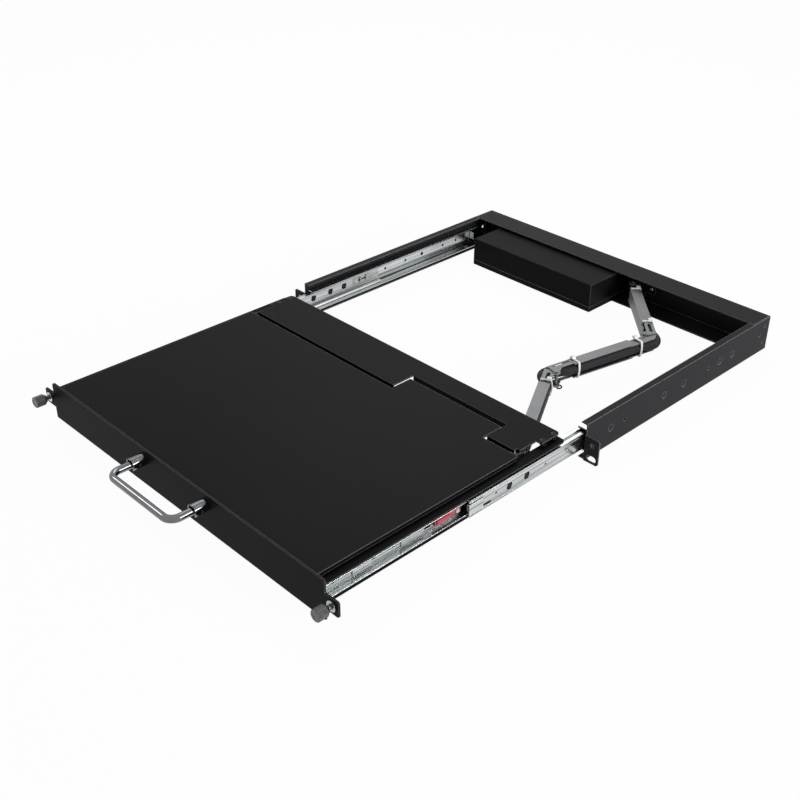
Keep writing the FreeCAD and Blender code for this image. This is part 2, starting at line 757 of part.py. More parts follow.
def keyboard():
    """The keyboard: its base plate, the block of key caps, and the space bar on its own."""
    right = "keys_left + 19 * key_pitch + 3.6"
    keys, space = key_places()
    spots = [SIZES["keys_left"] + (space[0] + space[2] * part) * SIZES["key_pitch"]
             for part in STEM_PLACES]
    base = cut(fuse(block("keys_left - 0.6", "keys_front - 0.6", "18.5", right,
                          "keys_front + 6 * key_pitch + 0.6", "base_top"),
                    block("keys_left - 8", "keys_front - 8", "18.5", right + " + 8",
                          "keys_front + 6 * key_pitch + 8", "20.5"),
                    block("keys_left - 8", "keys_front - 8", "18.5", "keys_left - 2",
                          "keys_front + 6 * key_pitch + 8", "deck_top - 1.5"),
                    block(right + " + 2", "keys_front - 8", "18.5", right + " + 8",
                          "keys_front + 6 * key_pitch + 8", "deck_top - 1.5")),
               *[block(x - 2.3, "keys_front + 7.2", "18", x + 2.3, "keys_front + 11.8", "deck_top")
                 for x in spots])
    on_drawer(base)
    publish(base, "keyboard_base")
    low = SIZES["base_top"]
    caps = [key_cap(*key).fuse(stem(key, 0.5, low)) for key in keys]
    bar = key_cap(*space).multiFuse([stem(space, part, low - 2) for part in STEM_PLACES])
    for name, shape in (("key_caps", Part.makeCompound(caps)), ("space_bar", bar)):
        item = DOC.addObject("Part::Feature", name)
        item.Shape = shape
        item.Placement = FreeCAD.Placement(
            Vector(0, -SIZES["travel"], -SIZES["slot_level"]), FreeCAD.Rotation())
        publish(item, name)


def on_drawer_block(item, name):
    """Publishes a Part box that is drawn in the drawer's own frame."""
    carried = group(item)
    on_drawer(carried)
    publish(carried, name)


def touch_pad():
    """Touch pad on its carrier under the deck, with its two click buttons in front."""
    under = "deck_top - 1.5"
    module = cut(fuse(block("-40", "16", "deck_top - 4", "40", "88", under),
                      block("-33.6", "36.4", under, "33.6", "83.6", "deck_top - 0.4")),
                 block("-34", "20", "deck_top - 2.6", "34", "34", "deck_top"))
    on_drawer(module)
    publish(module, "touch_pad")
    for name, left, right in (("left", "-33.6", "-0.4"), ("right", "0.4", "33.6")):
        body = new_body("pad_button_" + name)
        pad(body, "XY", "deck_top - 1.6", "deck_top + 0.5", rectangle, left, "20.5", right, "33.5")
        round_edges(body, 1, lambda m, a: m.z > SIZES["deck_top"] + 0.49)
        on_drawer(body)
        publish(body, "touch_pad_button_" + name)


def front_panel():
    """Front plate: a tab at each end reaches over the chassis ear; round top corners."""
    body = new_body("front_panel")
    side = [("panel_half", "panel_foot"), ("panel_half", "tab_foot"), ("ear_tip", "tab_foot"),
            ("ear_tip", "tab_top"), ("panel_half", "tab_top"), ("panel_half", "panel_top")]
    pad(body, "XZ", "-panel_thick", "0", polygon, side + [("-(%s)" % x, z) for x, z in reversed(side)])
    round_edges(body, 2.4, lambda m, a: abs(a.y) > 1 and abs(m.x) > SIZES["ear_tip"] - 0.01)
    round_edges(body, 4, lambda m, a: abs(a.y) > 1 and m.z > SIZES["panel_top"] - 0.01)
    pocket(body, "XZ", "-panel_thick - 1", "1", discs,
           [("-slot_pitch / 2", "screw_level"), ("slot_pitch / 2", "screw_level")], "4.2")
    pocket(body, "XZ", "-panel_thick - 1", "1", discs,
           [("handle_shift - handle_span / 2", "handle_level"),
            ("handle_shift + handle_span / 2", "handle_level")], "2.2")
    on_drawer(body)
    publish(body, "front_panel")


def handle():
    """Folding pull handle: two slotted posts, their pins, and the bar that swings down."""
    posts, pins = [], []
    for sign in "-+":
        x = "handle_shift %s handle_span / 2" % sign
        post = fuse(rod("Y", x, "-panel_thick - post_length", "handle_level", "post_radius",
                        "post_length"),
                    rod("Y", x, "-panel_thick", "handle_level", "2", "3.6"))
        slot = block(x + " - handle_rod - 0.2", "-panel_thick - post_length - 1", "handle_level - 8",
                     x + " + handle_rod + 0.2", "-panel_thick - 4", "handle_level + handle_rod + 1.3")
        hole = rod("X", x + " - 8", "-panel_thick - 10", "handle_level", "1.5", "16")
        posts.append(cut(post, slot, hole))
        pins.append(rod("X", x + " - post_radius + 0.6", "-panel_thick - 10", "handle_level", "1.45",
                        "2 * post_radius - 1.2"))
    for items, name in ((posts, "handle_posts"), (pins, "handle_pins")):
        item = group(*items)
        on_drawer(item)
        publish(item, name)
    bar = DOC.addObject("Part::Feature", "handle_bar")
    bar.Shape = handle_bar_shape()
    bar.Placement = FreeCAD.Placement(
        Vector(0, -SIZES["travel"], -SIZES["slot_level"]), FreeCAD.Rotation())
    publish(bar, "handle_bar")


def handle_bar_shape():
    """Round bar bent to a U: two legs and a grip joined by quarter bends, bored for the pins."""
    left = SIZES["handle_shift"] - SIZES["handle_span"] / 2
    right = left + SIZES["handle_span"]
    level, radius, bend = SIZES["handle_level"], SIZES["handle_rod"], 11
    pivot = -SIZES["panel_thick"] - 10
    back, front = pivot + 3, -SIZES["handle_reach"]
    corner = bend * (1 - math.sqrt(0.5))
    path = Part.Wire([
        Part.LineSegment(Vector(left, back, level), Vector(left, front + bend, level)).toShape(),
        Part.Arc(Vector(left, front + bend, level), Vector(left + corner, front + corner, level),
                 Vector(left + bend, front, level)).toShape(),
        Part.LineSegment(Vector(left + bend, front, level), Vector(right - bend, front, level)).toShape(),
        Part.Arc(Vector(right - bend, front, level), Vector(right - corner, front + corner, level),
                 Vector(right, front + bend, level)).toShape(),
        Part.LineSegment(Vector(right, front + bend, level), Vector(right, back, level)).toShape()])
    ring = Part.Wire([Part.Circle(Vector(left, back, level), Vector(0, 1, 0), radius).toShape()])
    bar = path.makePipeShell([ring], True, True)
    for x in (left, right):
        bar = bar.cut(Part.makeCylinder(1.55, 12, Vector(x - 6, pivot, level), Vector(1, 0, 0)))
    return bar


def thumb_screws():
    """Captive thumb screws: a flanged ferrule pressed in each panel tab, and the screw in it."""
    ferrule = cut(fuse(rod("Y", "slot_pitch / 2", "-panel_thick - 1.4", "screw_level", "5.6", "1.4"),
                       rod("Y", "slot_pitch / 2", "-panel_thick", "screw_level", "4.15", "panel_thick")),
                  rod("Y", "slot_pitch / 2", "-panel_thick - 3", "screw_level", "2.7", "6"))
    on_drawer(ferrule)
    pair(ferrule, "screw_ferrules")
    head = DOC.addObject("Part::Cylinder", "knob")
    bind(head, {"Radius": "6.3", "Height": "11"})
    head.Placement = FreeCAD.Placement(Vector(), FreeCAD.Rotation(Vector(1, 0, 0), -90))
    place(head, "slot_pitch / 2", "-panel_thick - 19", "screw_level")
    neck = DOC.addObject("Part::Cone", "knob_neck")
    bind(neck, {"Radius1": "6.3", "Radius2": "4", "Height": "2.5"})
    neck.Placement = FreeCAD.Placement(Vector(), FreeCAD.Rotation(Vector(1, 0, 0), -90))
    place(neck, "slot_pitch / 2", "-panel_thick - 8", "screw_level")
    screw = fuse(head, neck, rod("Y", "slot_pitch / 2", "-panel_thick - 6", "screw_level", "2.4",
                                 "panel_thick + 5.8"))
    on_drawer(screw)
    both_sides(screw, "thumb_screw")


def rear_cover():
    """Flat cover behind the lid, stepped round the lid's tab, on four bosses that rest on the
    tray's ledges."""
    body = new_body("rear_cover")
    foot = "cover_top - sheet"
    pad(body, "XY", foot, "cover_top", polygon, [
        ("-cover_neck", "cover_front"), ("step_left", "cover_front"), ("step_left", "step_back"),
        ("step_right", "step_back"), ("step_right", "cover_front"), ("cover_neck - 4", "cover_front"),
        ("cover_neck - 4", "267"), ("cover_neck", "267"), ("cover_neck", "291"),
        ("cover_half", "291"), ("cover_half", "cover_back"), ("-cover_half", "cover_back"),
        ("-cover_half", "285"), ("-cover_neck", "285")])
    round_edges(body, 5, lambda m, a: upright(a) and abs(m.x) > SIZES["cover_half"] - 0.01
                and m.y > SIZES["cover_back"] - 0.01)
    lip = foot + " - cover_lip"
    for left, front, right in (("-cover_neck", "cover_front", "step_left"),
                               ("step_left", "step_back", "step_right"),
                               ("step_right", "cover_front", "cover_neck - 4")):
        pad(body, "XY", lip, foot, rectangle, left, front, right, front + " + hem")
    pad(body, "XY", "ledge_top", foot, discs, [(x, y) for x in (-209, 209) for y in (297, 314)], "3.4")
    pocket(body, "XY", foot + " + 0.5", "cover_top + 1", discs,
           [(x, y) for x in (-209, 209) for y in (297, 314)], "2.6")
    on_drawer(body)
    publish(body, "rear_cover")


def arm_front_bracket():
    """Angle on the drawer's side wall with a tongue just under the last link's end."""
    tongue = new_body("arm_front_bracket")
    pad(tongue, "XY", "9.2", "11.2", polygon, [
        ("176", "278"), ("180", "268"), ("tray_half - wall", "268"), ("tray_half - wall", "304"),
        ("196", "304"), ("184", "298"), ("176", "294")])
    pad(tongue, "YZ", "tray_half - 2 * wall", "tray_half - wall", rectangle, "268", "6.2", "304", "9.2")
    on_drawer(tongue)
    publish(tongue, "arm_front_bracket")


# ---------------------------------------------------------------- lid and its hinges

def lid_shell():
    """Pressed lid: flat top, turned-down edge all round, and a tab that reaches into the cover."""
    body = new_body("lid_shell")
    pad(body, "XY", "lid_foot", "cover_top", rectangle, "-lid_half", "lid_front", "lid_half", "lid_back")
    round_edges(body, 1.5, lambda m, a: upright(a))
    pocket(body, "XY", "lid_foot - 1", "cover_top - wall", rectangle,
           "-lid_half + wall", "lid_front + wall", "lid_half - wall", "lid_back - wall")
    pad(body, "XY", "cover_top - 2", "cover_top", polygon, [
        ("lid_tab_left", "lid_back"), ("lid_tab_right", "lid_back"),
        ("lid_tab_right", "lid_tab_back"), ("lid_tab_left", "lid_tab_back")])
    round_edges(body, 2, lambda m, a: upright(a) and m.y > SIZES["lid_tab_back"] - 0.01)
    on_drawer(body)
    publish(body, "lid_shell")


BUTTONS = {"power_button": (50, 2), "menu_pad": (68, 4.5)}


def display_frame():
    """Moulded bezel round the display, with the window and the row of button holes."""
    body = new_body("display_frame")
    middle = "(frame_front + frame_back) / 2"
    pad(body, "XY", "frame_foot", "cover_top - wall", rectangle,
        "-frame_half", "frame_front", "frame_half", "frame_back")
    round_edges(body, 3, lambda m, a: upright(a))
    pocket(body, "XY", "frame_foot + 1.6", "lid_foot + 4", rectangle, "-frame_half + 2",
           "frame_front + 1", "frame_half - 2", "frame_back - 1")
    pocket(body, "XY", "frame_foot - 1", "frame_foot + 2", rectangle, "-view_wide / 2",
           middle + " - view_tall / 2", "view_wide / 2", middle + " + view_tall / 2")
    for y, radius in BUTTONS.values():
        pocket(body, "XY", "frame_foot - 1", "frame_foot + 2", discs, [("button_side", y)],
               "%s + 0.2" % radius)
    on_drawer(body)
    publish(body, "display_frame")


def display_buttons():
    """The display's power button and its round four-way menu pad, a little proud of the bezel."""
    for name, (y, radius) in BUTTONS.items():
        item = fuse(rod("Z", "button_side", y, "frame_foot - 0.5", radius, "2.4"),
                    rod("Z", "button_side", y, "frame_foot + 1.65", "%s + 0.6" % radius, "0.5"))
        on_drawer(item)
        publish(item, "display_" + name)


def display_module():
    """The display itself and the driver board behind it."""
    middle = "(frame_front + frame_back) / 2"
    panel = block("-view_wide / 2 - 8", middle + " - view_tall / 2 - 8", "frame_foot + 1.6",
                  "view_wide / 2 + 8", middle + " + view_tall / 2 + 8", "frame_foot + 6.4")
    on_drawer_block(panel, "display_panel")
    driver = fuse(block("-60", "60", "frame_foot + 6.4", "60", "130", "frame_foot + 7.6"),
                  block("-40", "80", "frame_foot + 7.6", "-22", "98", "frame_foot + 8.8"),
                  block("20", "70", "frame_foot + 7.6", "50", "76", "frame_foot + 8.8"))
    switches = block("button_side - 7", "40", "frame_foot + 2.9", "frame_half - 2", "78",
                     "frame_foot + 4.1")
    board = group(driver, switches)
    on_drawer(board)
    publish(board, "driver_board")


def hinges():
    """Friction hinges: a bracket on the tray's wall with a barrel and its pin, and a leaf on the
    lid that turns on the pin."""
    inner = "tray_half - wall"
    bracket = fuse(rod("X", "198.5", "axle_place", "axle_level", "3.8", "7"),
                   rod("X", "197.5", "axle_place", "axle_level", "1.5", "10.4"),
                   block("198.5", "axle_place", "axle_level - 3.8", "205.5", "281", "axle_level - 1.4"),
                   block("203.5", "277", "18", inner, "281", "axle_level - 1.4"),
                   block(inner + " - 1.6", "277", "18", inner, "300", "axle_level - 1.4"))
    on_drawer(bracket)
    pair(bracket, "hinge_brackets")
    leaf = new_body("hinge_leaf")
    pad(leaf, "YZ", "205.9", "207.9", polygon, [
        ("lid_back", "axle_level + 1.4"), ("axle_place", "axle_level - 0.5"),
        ("axle_place + 2", "axle_level + 3"), ("lid_back", "cover_top - 0.4")])
    pad(leaf, "YZ", "205.9", "207.9", discs, [("axle_place", "axle_level")], "3.7")
    pad(leaf, "YZ", "199", "207.9", rectangle, "lid_back", "axle_level + 1.4", "lid_back + 1.3",
        "cover_top - 0.4")
    pocket(leaf, "YZ", "205", "209", discs, [("axle_place", "axle_level")], "1.55")
    on_drawer(leaf)
    pair(leaf, "hinge_leaves")


# ---------------------------------------------------------------- cable arm

def turned(angle, along, aside, x="0", y="0"):
    """The place of a link's point, given the link's start and the way it points."""
    return ("%s + (%s) * cos(%s * 1deg) - (%s) * sin(%s * 1deg)" % (x, along, angle, aside, angle),
            "%s + (%s) * sin(%s * 1deg) + (%s) * cos(%s * 1deg)" % (y, along, angle, aside, angle))


ELBOW_ONE = turned("turn_first", "link_first", "pin_web_side - pin_middle", "post_side", "post_back")
ELBOW_TWO = turned("turn_second", "link_second", "pin_open_side - pin_web_side", *ELBOW_ONE)
ARM_END = turned("turn_third", "link_third", "pin_middle - pin_open_side", *ELBOW_TWO)
LINK_STARTS = {
    1: turned("turn_first", "0", "-pin_middle", "post_side", "post_back"),
    2: turned("turn_second", "0", "-pin_web_side", *ELBOW_ONE),
    3: turned("turn_third", "0", "-pin_open_side", *ELBOW_TWO),
}
LINK_TURNS = {1: "turn_first", 2: "turn_second", 3: "turn_third"}


def on_link(item, number):
    """Carries a piece drawn along a link's own axis to the link's place and angle."""
    x, y = LINK_STARTS[number]
    item.Placement = FreeCAD.Placement(Vector(), FreeCAD.Rotation(Vector(0, 0, 1), 1))
    place(item, x, y, "-slot_level")
    bind(item, {"Placement.Rotation.Angle": LINK_TURNS[number] + " * 1deg"})


def link_end(body, at, way, pin, outline, slot, inset):
    """Top and bottom plates at one end of a link, with the eye for the pin and perhaps a slot, given
    by its distance in from the pin, distance out from the web, length and width."""
    skin = "arm_wall" if inset else "0"
    play = "0" if inset else "0.1"
    levels = (("arm_foot + " + skin, "arm_foot + arm_wall + %s - %s" % (skin, play)),
              ("arm_top - arm_wall - %s + %s" % (skin, play), "arm_top - " + skin))
    corners = [("%s %s (%s)" % (at, way, reach), side) for reach, side in outline]
    for foot, top in levels:
        pad(body, "XY", foot, top, polygon, corners)
        pad(body, "XY", foot, top, discs, [(at, pin)], "eye_radius")
    if slot:
        reach, side, run, width = slot
        pocket(body, "XY", "arm_foot - 1", "arm_top + 1", long_holes,
               [("%s %s (%s)" % (at, way, reach), side)], run, width)
    pocket(body, "XY", "arm_foot - 1", "arm_top + 1", discs, [(at, pin)], "pin_radius + pin_play")


def new_link(number, start, end):
    """A link's channel, open to one side, between two distances along its axis."""
    body = new_body("arm_link_%d" % number)
    pad(body, "YZ", start, end, polygon, [
        ("0", "arm_foot"), ("arm_deep", "arm_foot"), ("arm_deep", "arm_foot + arm_wall"),
        ("arm_wall", "arm_foot + arm_wall"), ("arm_wall", "arm_top - arm_wall"),
        ("arm_deep", "arm_top - arm_wall"), ("arm_deep", "arm_top"), ("0", "arm_top")])
    return body


# Place along the link of each cable tie, and the near side of its head.
TIES = {
    1: (("9", "8"), ("link_first - 32", "8.2")),
    2: (("16", "-0.2"), ("link_second - 35", "-0.2")),
    3: (("20", "8.6"),),
}
# End plates of the links: the outline by distance in from the pin and distance out from the web.
PLAIN_END = [("12", "0"), ("12", "arm_deep"), ("0", "pin_middle + eye_radius"),
             ("0", "pin_middle - eye_radius")]
FIRST_ELBOW_OVER = [
    ("arm_cut + 5", "0.6"), ("arm_cut + 5", "arm_deep"), ("1", "arm_deep"), ("-3", "4.4"),
    ("-3", "pin_web_side"), ("3.5", "pin_web_side"), ("5", "2.2"), ("arm_cut - 0.5", "2.2")]
FIRST_ELBOW_UNDER = [
    ("arm_cut + 5", "1"), ("arm_cut + 5", "arm_deep"), ("-4", "arm_deep"), ("-12", "6.5"),
    ("-5", "2.8"), ("-3.5", "pin_web_side"), ("3.5", "pin_web_side"), ("5", "1")]
SECOND_ELBOW_OVER = [
    ("arm_cut + 5", "0.6"), ("-2.3", "0.6"), ("-2.3", "pin_open_side"), ("3.5", "pin_open_side"),
    ("9", "arm_deep"), ("10", "10.2"), ("arm_cut + 5", "10.2")]
SECOND_ELBOW_UNDER = [
    ("arm_cut + 5", "1"), ("-5", "1"), ("-3.5", "pin_open_side"), ("3.5", "pin_open_side"),
    ("6", "arm_deep"), ("arm_cut + 5", "arm_deep")]


def arm_links():
    """The three links of the arm, from the chassis to the drawer."""
    first = new_link(1, "9", "link_first - arm_cut")
    pad(first, "YZ", "link_first - arm_cut - 1", "link_first - 17", rectangle,
        "0", "arm_foot", "arm_wall", "arm_top - 3")
    link_end(first, "0", "+", "pin_middle", PLAIN_END, None, False)
    link_end(first, "link_first", "-", "pin_web_side", FIRST_ELBOW_OVER,
             ("14.5", "7.6", "21", "3.8"), False)
    relief = ("link_first - arm_cut + 1", "3")
    pocket(first, "XY", "arm_top - 2", "arm_top + 1", discs, [relief], "1.3")
    second = new_link(2, "arm_cut", "link_second - arm_cut")
    corner = ("0", "26.2", "arm_wall", "arm_top - 1")
    pad(second, "YZ", "link_second - arm_cut - 1", "link_second - 20", rectangle, *corner)
    link_end(second, "0", "+", "pin_web_side", FIRST_ELBOW_UNDER, ("6.5", "4.6", "17", "2.2"), True)
    link_end(second, "link_second", "-", "pin_open_side", SECOND_ELBOW_OVER,
             ("15", "4", "24", "2.6"), False)
    third = new_link(3, "arm_cut", "link_third - 9")
    link_end(third, "0", "+", "pin_open_side", SECOND_ELBOW_UNDER, ("13", "7.4", "22", "4.2"), True)
    link_end(third, "link_third", "-", "pin_middle", PLAIN_END, None, False)
    for number, body in enumerate((first, second, third), start=1):
        for along, _ in TIES[number]:
            pocket(body, "XY", "arm_foot - 1", "arm_top + 1", rectangle,
                   along + " - 0.2", "arm_wall", along + " + 2.8", "arm_wall + 0.9")
        on_link(body, number)
        publish(body, body.Name)


def rivet(x, y, foot, top):
    """A rivet with a flat head at each end."""
    return fuse(rod("Z", x, y, foot, "pin_radius", "(%s) - (%s)" % (top, foot)),
                rod("Z", x, y, "%s - 0.7" % foot, "pin_radius + 1.2", "0.8"),
                rod("Z", x, y, "%s - 0.1" % top, "pin_radius + 1.2", "0.8"))


def pivot_rivets():
    """Rivets of the arm: two turn with the first link, two with the last one."""
    rear = group(rivet("post_side", "post_back", "9.3", "34.7"),
                 rivet(*ELBOW_ONE, "arm_foot - 0.1", "arm_top + 0.1"))
    front = group(rivet(*ELBOW_TWO, "arm_foot - 0.1", "arm_top + 0.1"),
                  rivet(*ARM_END, "arm_foot - 0.1", "arm_top + 0.1"))
    for item, name in ((rear, "arm_rivets_rear"), (front, "arm_rivets_front")):
        on_chassis(item)
        publish(item, name)


def arm_rear_bracket():
    """Bracket on the crossmember's web: a plate with two tongues that hold the rear pin."""
    body = new_body("arm_rear_bracket")
    back = "chassis_length - sheet - 0.1"
    pad(body, "XZ", back + " - 1.8", back, polygon, [
        ("36", "9.4"), ("50", "9.4"), ("50", "14"), ("64", "14"), ("64", "25.4"), ("50", "25.4"),
        ("50", "34.6"), ("36", "34.6")])
    for foot, top in (("9.4", "11.4"), ("32.6", "34.6")):
        pad(body, "XY", foot, top, polygon, [
            ("post_side - 6", "post_back"), ("post_side + 6", "post_back"), ("50", back), ("36", back)])
        pad(body, "XY", foot, top, discs, [("post_side", "post_back")], "6")
    pocket(body, "XY", "8", "36", discs, [("post_side", "post_back")], "pin_radius + pin_play")
    pocket(body, "XZ", back + " - 3", back + " + 1", discs, [("46.7", "21"), ("57.8", "21")], "1.7")
    on_chassis(body)
    publish(body, "arm_rear_bracket")


def sleeve_point(along, side):
    """A point of the sleeve's centre line in a link's own frame."""
    return Vector(along, side, (SIZES["arm_foot"] + SIZES["arm_top"]) / 2)


def sleeve_turn(at, way, pin, bend, swing, room):
    """Centre line of half the bend round an elbow, from the run in the link out to the mitre."""
    side = math.copysign(1, SIZES["sleeve_side"] - pin)
    half, pull = math.radians(swing) / 2, room / 2
    start = sleeve_point(at + way * room, SIZES["sleeve_side"])
    end = sleeve_point(at - way * bend * math.sin(half), pin + side * bend * math.cos(half))
    curve = Part.BezierCurve()
    curve.setPoles([start, start - Vector(way * pull, 0, 0),
                    end + Vector(way * math.cos(half), side * math.sin(half), 0) * pull, end])
    return start, curve.toShape()


def sleeves():
    """The cable in its braided sleeve: one run in each link, with half of the bend at each elbow."""
    first, second, third = (SIZES["link_" + name] for name in ("first", "second", "third"))
    web, opening = SIZES["pin_web_side"], SIZES["pin_open_side"]
    swing_one = SIZES["turn_first"] - SIZES["turn_second"]
    swing_two = SIZES["turn_third"] - SIZES["turn_second"]
    side = SIZES["sleeve_side"]
    one, two = SIZES["sleeve_bend_one"], SIZES["sleeve_bend_two"]
    turns = {
        1: [(sleeve_point(20, side), None), sleeve_turn(first, -1, web, one, swing_one, 26)],
        2: [sleeve_turn(0, 1, web, one, swing_one, 15),
            sleeve_turn(second, -1, opening, two, swing_two, 27)],
        3: [sleeve_turn(0, 1, opening, two, swing_two, 19), (sleeve_point(third - 34, side), None)],
    }
    for number, ((near, near_turn), (far, far_turn)) in turns.items():
        run = Part.LineSegment(near, far).toShape()
        path = Part.Wire(Part.__sortEdges__([edge for edge in (near_turn, run, far_turn) if edge]))
        edge = path.OrderedEdges[0]
        tip = path.OrderedVertexes[0].Point
        along = edge.tangentAt(edge.getParameterByLength(0))
        ring = Part.Wire([Part.Circle(tip, along, SIZES["sleeve_radius"]).toShape()])
        item = DOC.addObject("Part::Feature", "arm_sleeve_%d" % number)
        item.Shape = path.makePipeShell([ring], True, False)
        on_link(item, number)
        publish(item, item.Name)


def cable_tie(name, along, head_side):
    """One tie round the sleeve and the open side of a link: a flat band that passes through both
    flanges beside the web, and its square head."""
    body = new_body(name)
    middle = "(arm_foot + arm_top) / 2"
    outer = [("arm_wall + 0.05", "arm_foot - 0.9"), ("13.6", "arm_foot - 0.9"),
             ("14.9", "arm_foot + 4.2"), ("15.3", middle), ("14.9", "arm_top - 4.2"),
             ("13.6", "arm_top + 0.9"), ("arm_wall + 0.05", "arm_top + 0.9")]
    inner = [("arm_wall + 0.75", "arm_foot - 0.1"), ("13.05", "arm_foot - 0.1"),
             ("14.1", "arm_foot + 4.4"), ("14.5", middle), ("14.1", "arm_top - 4.4"),
             ("13.05", "arm_top + 0.1"), ("arm_wall + 0.75", "arm_top + 0.1")]
    pad(body, "YZ", along, along + " + 2.6", polygons, [outer, inner])
    pad(body, "XY", "arm_top + 0.5", "arm_top + 3.4", rectangle, along + " - 1", head_side,
        along + " + 3.8", head_side + " + 4.6")
    return body


def cable_ties():
    """The ties of the three links, each set carried by its link."""
    for number, ties in TIES.items():
        item = group(*[cable_tie("tie_%d_%d" % (number, i), *where) for i, where in enumerate(ties)])
        on_link(item, number)
        publish(item, "cable_ties_%d" % number)


def build():
    """Makes every sub-part."""
    make_sheet()
    for make in (side_rail, rear_crossmember, power_box, power_board, sockets,
                 slide_outer, slide_middle, slide_inner, slide_stop, outer_cage, inner_cage,
                 release_lever, rail_screws, drawer_tray, keyboard_deck, keyboard, touch_pad,
                 front_panel, handle, thumb_screws, rear_cover, arm_front_bracket,
                 lid_shell, display_frame, display_buttons, display_module, hinges,
                 arm_rear_bracket, arm_links, pivot_rivets, sleeves, cable_ties):
        make()
    DOC.recompute()


def check():
    """Stops if any object failed or any sub-part has no valid solid."""
    for item in DOC.Objects:
        if "Invalid" in item.State or "Error" in item.State:
            raise RuntimeError("%s (%s) failed: %s" % (item.Label, item.TypeId, item.State))
    for item in NODES:
        if item.Shape.isNull() or not item.Shape.isValid() or not item.Shape.Solids:
            raise RuntimeError("%s has no valid solid" % item.Label)


def export():
    """Writes one STEP file for each sub-part."""
    os.makedirs("parts", exist_ok=True)
    for item in NODES:
        item.Shape.exportStep(os.path.join("parts", item.Label + ".step"))
    print("%d nodes" % len(NODES))


build()
check()
export()
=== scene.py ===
"""Looks of a one-unit rack console drawer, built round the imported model.

Lengths in the classes are millimetres, unless a class says otherwise; MM turns them to the frame's
metres. The drawer stands fully pulled out with its display lid shut.
"""

from __future__ import annotations

import logging
import math
from dataclasses import dataclass
from enum import Enum
from typing import Any, Iterable, Sequence

import bmesh
import bpy
from mathutils import Matrix, Vector
from mathutils.geometry import interpolate_bezier

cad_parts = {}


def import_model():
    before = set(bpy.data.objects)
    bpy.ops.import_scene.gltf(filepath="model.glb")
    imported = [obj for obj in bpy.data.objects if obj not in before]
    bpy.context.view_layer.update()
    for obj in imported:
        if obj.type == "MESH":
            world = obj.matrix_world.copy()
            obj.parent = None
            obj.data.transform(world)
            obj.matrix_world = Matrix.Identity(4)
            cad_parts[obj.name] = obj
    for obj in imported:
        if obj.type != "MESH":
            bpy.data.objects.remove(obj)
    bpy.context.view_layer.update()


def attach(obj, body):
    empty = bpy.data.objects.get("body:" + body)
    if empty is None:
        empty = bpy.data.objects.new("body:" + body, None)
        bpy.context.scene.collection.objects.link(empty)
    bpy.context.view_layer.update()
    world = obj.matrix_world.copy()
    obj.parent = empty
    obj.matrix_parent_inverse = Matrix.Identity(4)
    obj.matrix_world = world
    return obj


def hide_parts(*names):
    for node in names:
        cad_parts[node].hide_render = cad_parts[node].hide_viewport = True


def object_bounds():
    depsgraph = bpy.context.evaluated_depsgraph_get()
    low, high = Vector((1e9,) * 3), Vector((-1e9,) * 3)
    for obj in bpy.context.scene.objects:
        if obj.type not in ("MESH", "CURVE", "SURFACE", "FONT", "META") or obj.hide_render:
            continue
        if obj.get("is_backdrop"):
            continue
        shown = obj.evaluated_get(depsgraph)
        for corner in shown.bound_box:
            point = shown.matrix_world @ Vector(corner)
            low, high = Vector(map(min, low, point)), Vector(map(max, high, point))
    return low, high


Tree = bpy.types.NodeTree
Socket = bpy.types.NodeSocket
Mesh = bmesh.types.BMesh
# A place, size or turn along the three axes.
Triple = tuple[float, float, float]
# Two measures for each point, such as radius and height.
Profile = Sequence[tuple[float, float]]
# First and last column, then first and last row, of each block of cells.
Blocks = tuple[tuple[int, int, int, int], ...]
# What each key says, and its width in key pitches.
Keys = tuple[tuple[str, float], ...]

LOG = logging.getLogger("console_drawer")
# One millimetre in the frame's metres.
MM = 0.001
# Points nearer than this are one point, in millimetres.
WELD = 0.001
# The frame's zero height is the middle of the lowest mounting slot.
SLOT_LEVEL = 6.35
# Height of the slides' middle over the chassis' foot.
SLIDE_LEVEL = 21.8
# The drawer stands pulled out by its whole travel.
TRAVEL = 348.0
# UV units that the sleeve's map has in one turn round it.
PLAIT_TURN = 8
# Bodies of the cable arm, from the chassis to the drawer.
LINK_BODIES = ("first_link", "second_link", "third_link")
# Which way each side lies along X, and its name.
SIDES = ((-1, "left"), (1, "right"))


def linear(tone: str, alpha: float = 1.0) -> tuple[float, float, float, float]:
    """Turns an sRGB hex colour to the linear values that shaders use.

    Args:
        tone: the colour as six hex digits after a hash sign.
        alpha: the opacity that goes with it.

    Returns:
        Linear red, green and blue, then the opacity.
    """
    parts = [int(tone[i : i + 2], 16) / 255 for i in (1, 3, 5)]
    red, green, blue = (
        part / 12.92 if part <= 0.04045 else ((part + 0.055) / 1.055) ** 2.4 for part in parts
    )
    return red, green, blue, alpha


def add(tree: Tree, kind: str, links: dict[str, Any], **settings: Any) -> bpy.types.Node:
    """Adds a shader node with its settings and inputs.

    Args:
        tree: the node tree that takes the node.
        kind: the node's type without the ShaderNode prefix.
        links: input name to a plain value, or to the output socket that feeds it.
        settings: properties set on the node itself.

    Returns:
        The new node.
    """
    node = tree.nodes.new("ShaderNode" + kind)
    for name, value in settings.items():
        setattr(node, name, value)
    for name, value in links.items():
        socket = node.inputs[int(name)] if name.isdigit() else node.inputs[name]
        if isinstance(value, Socket):
            tree.links.new(value, socket)
        else:
            socket.default_value = value
    return node


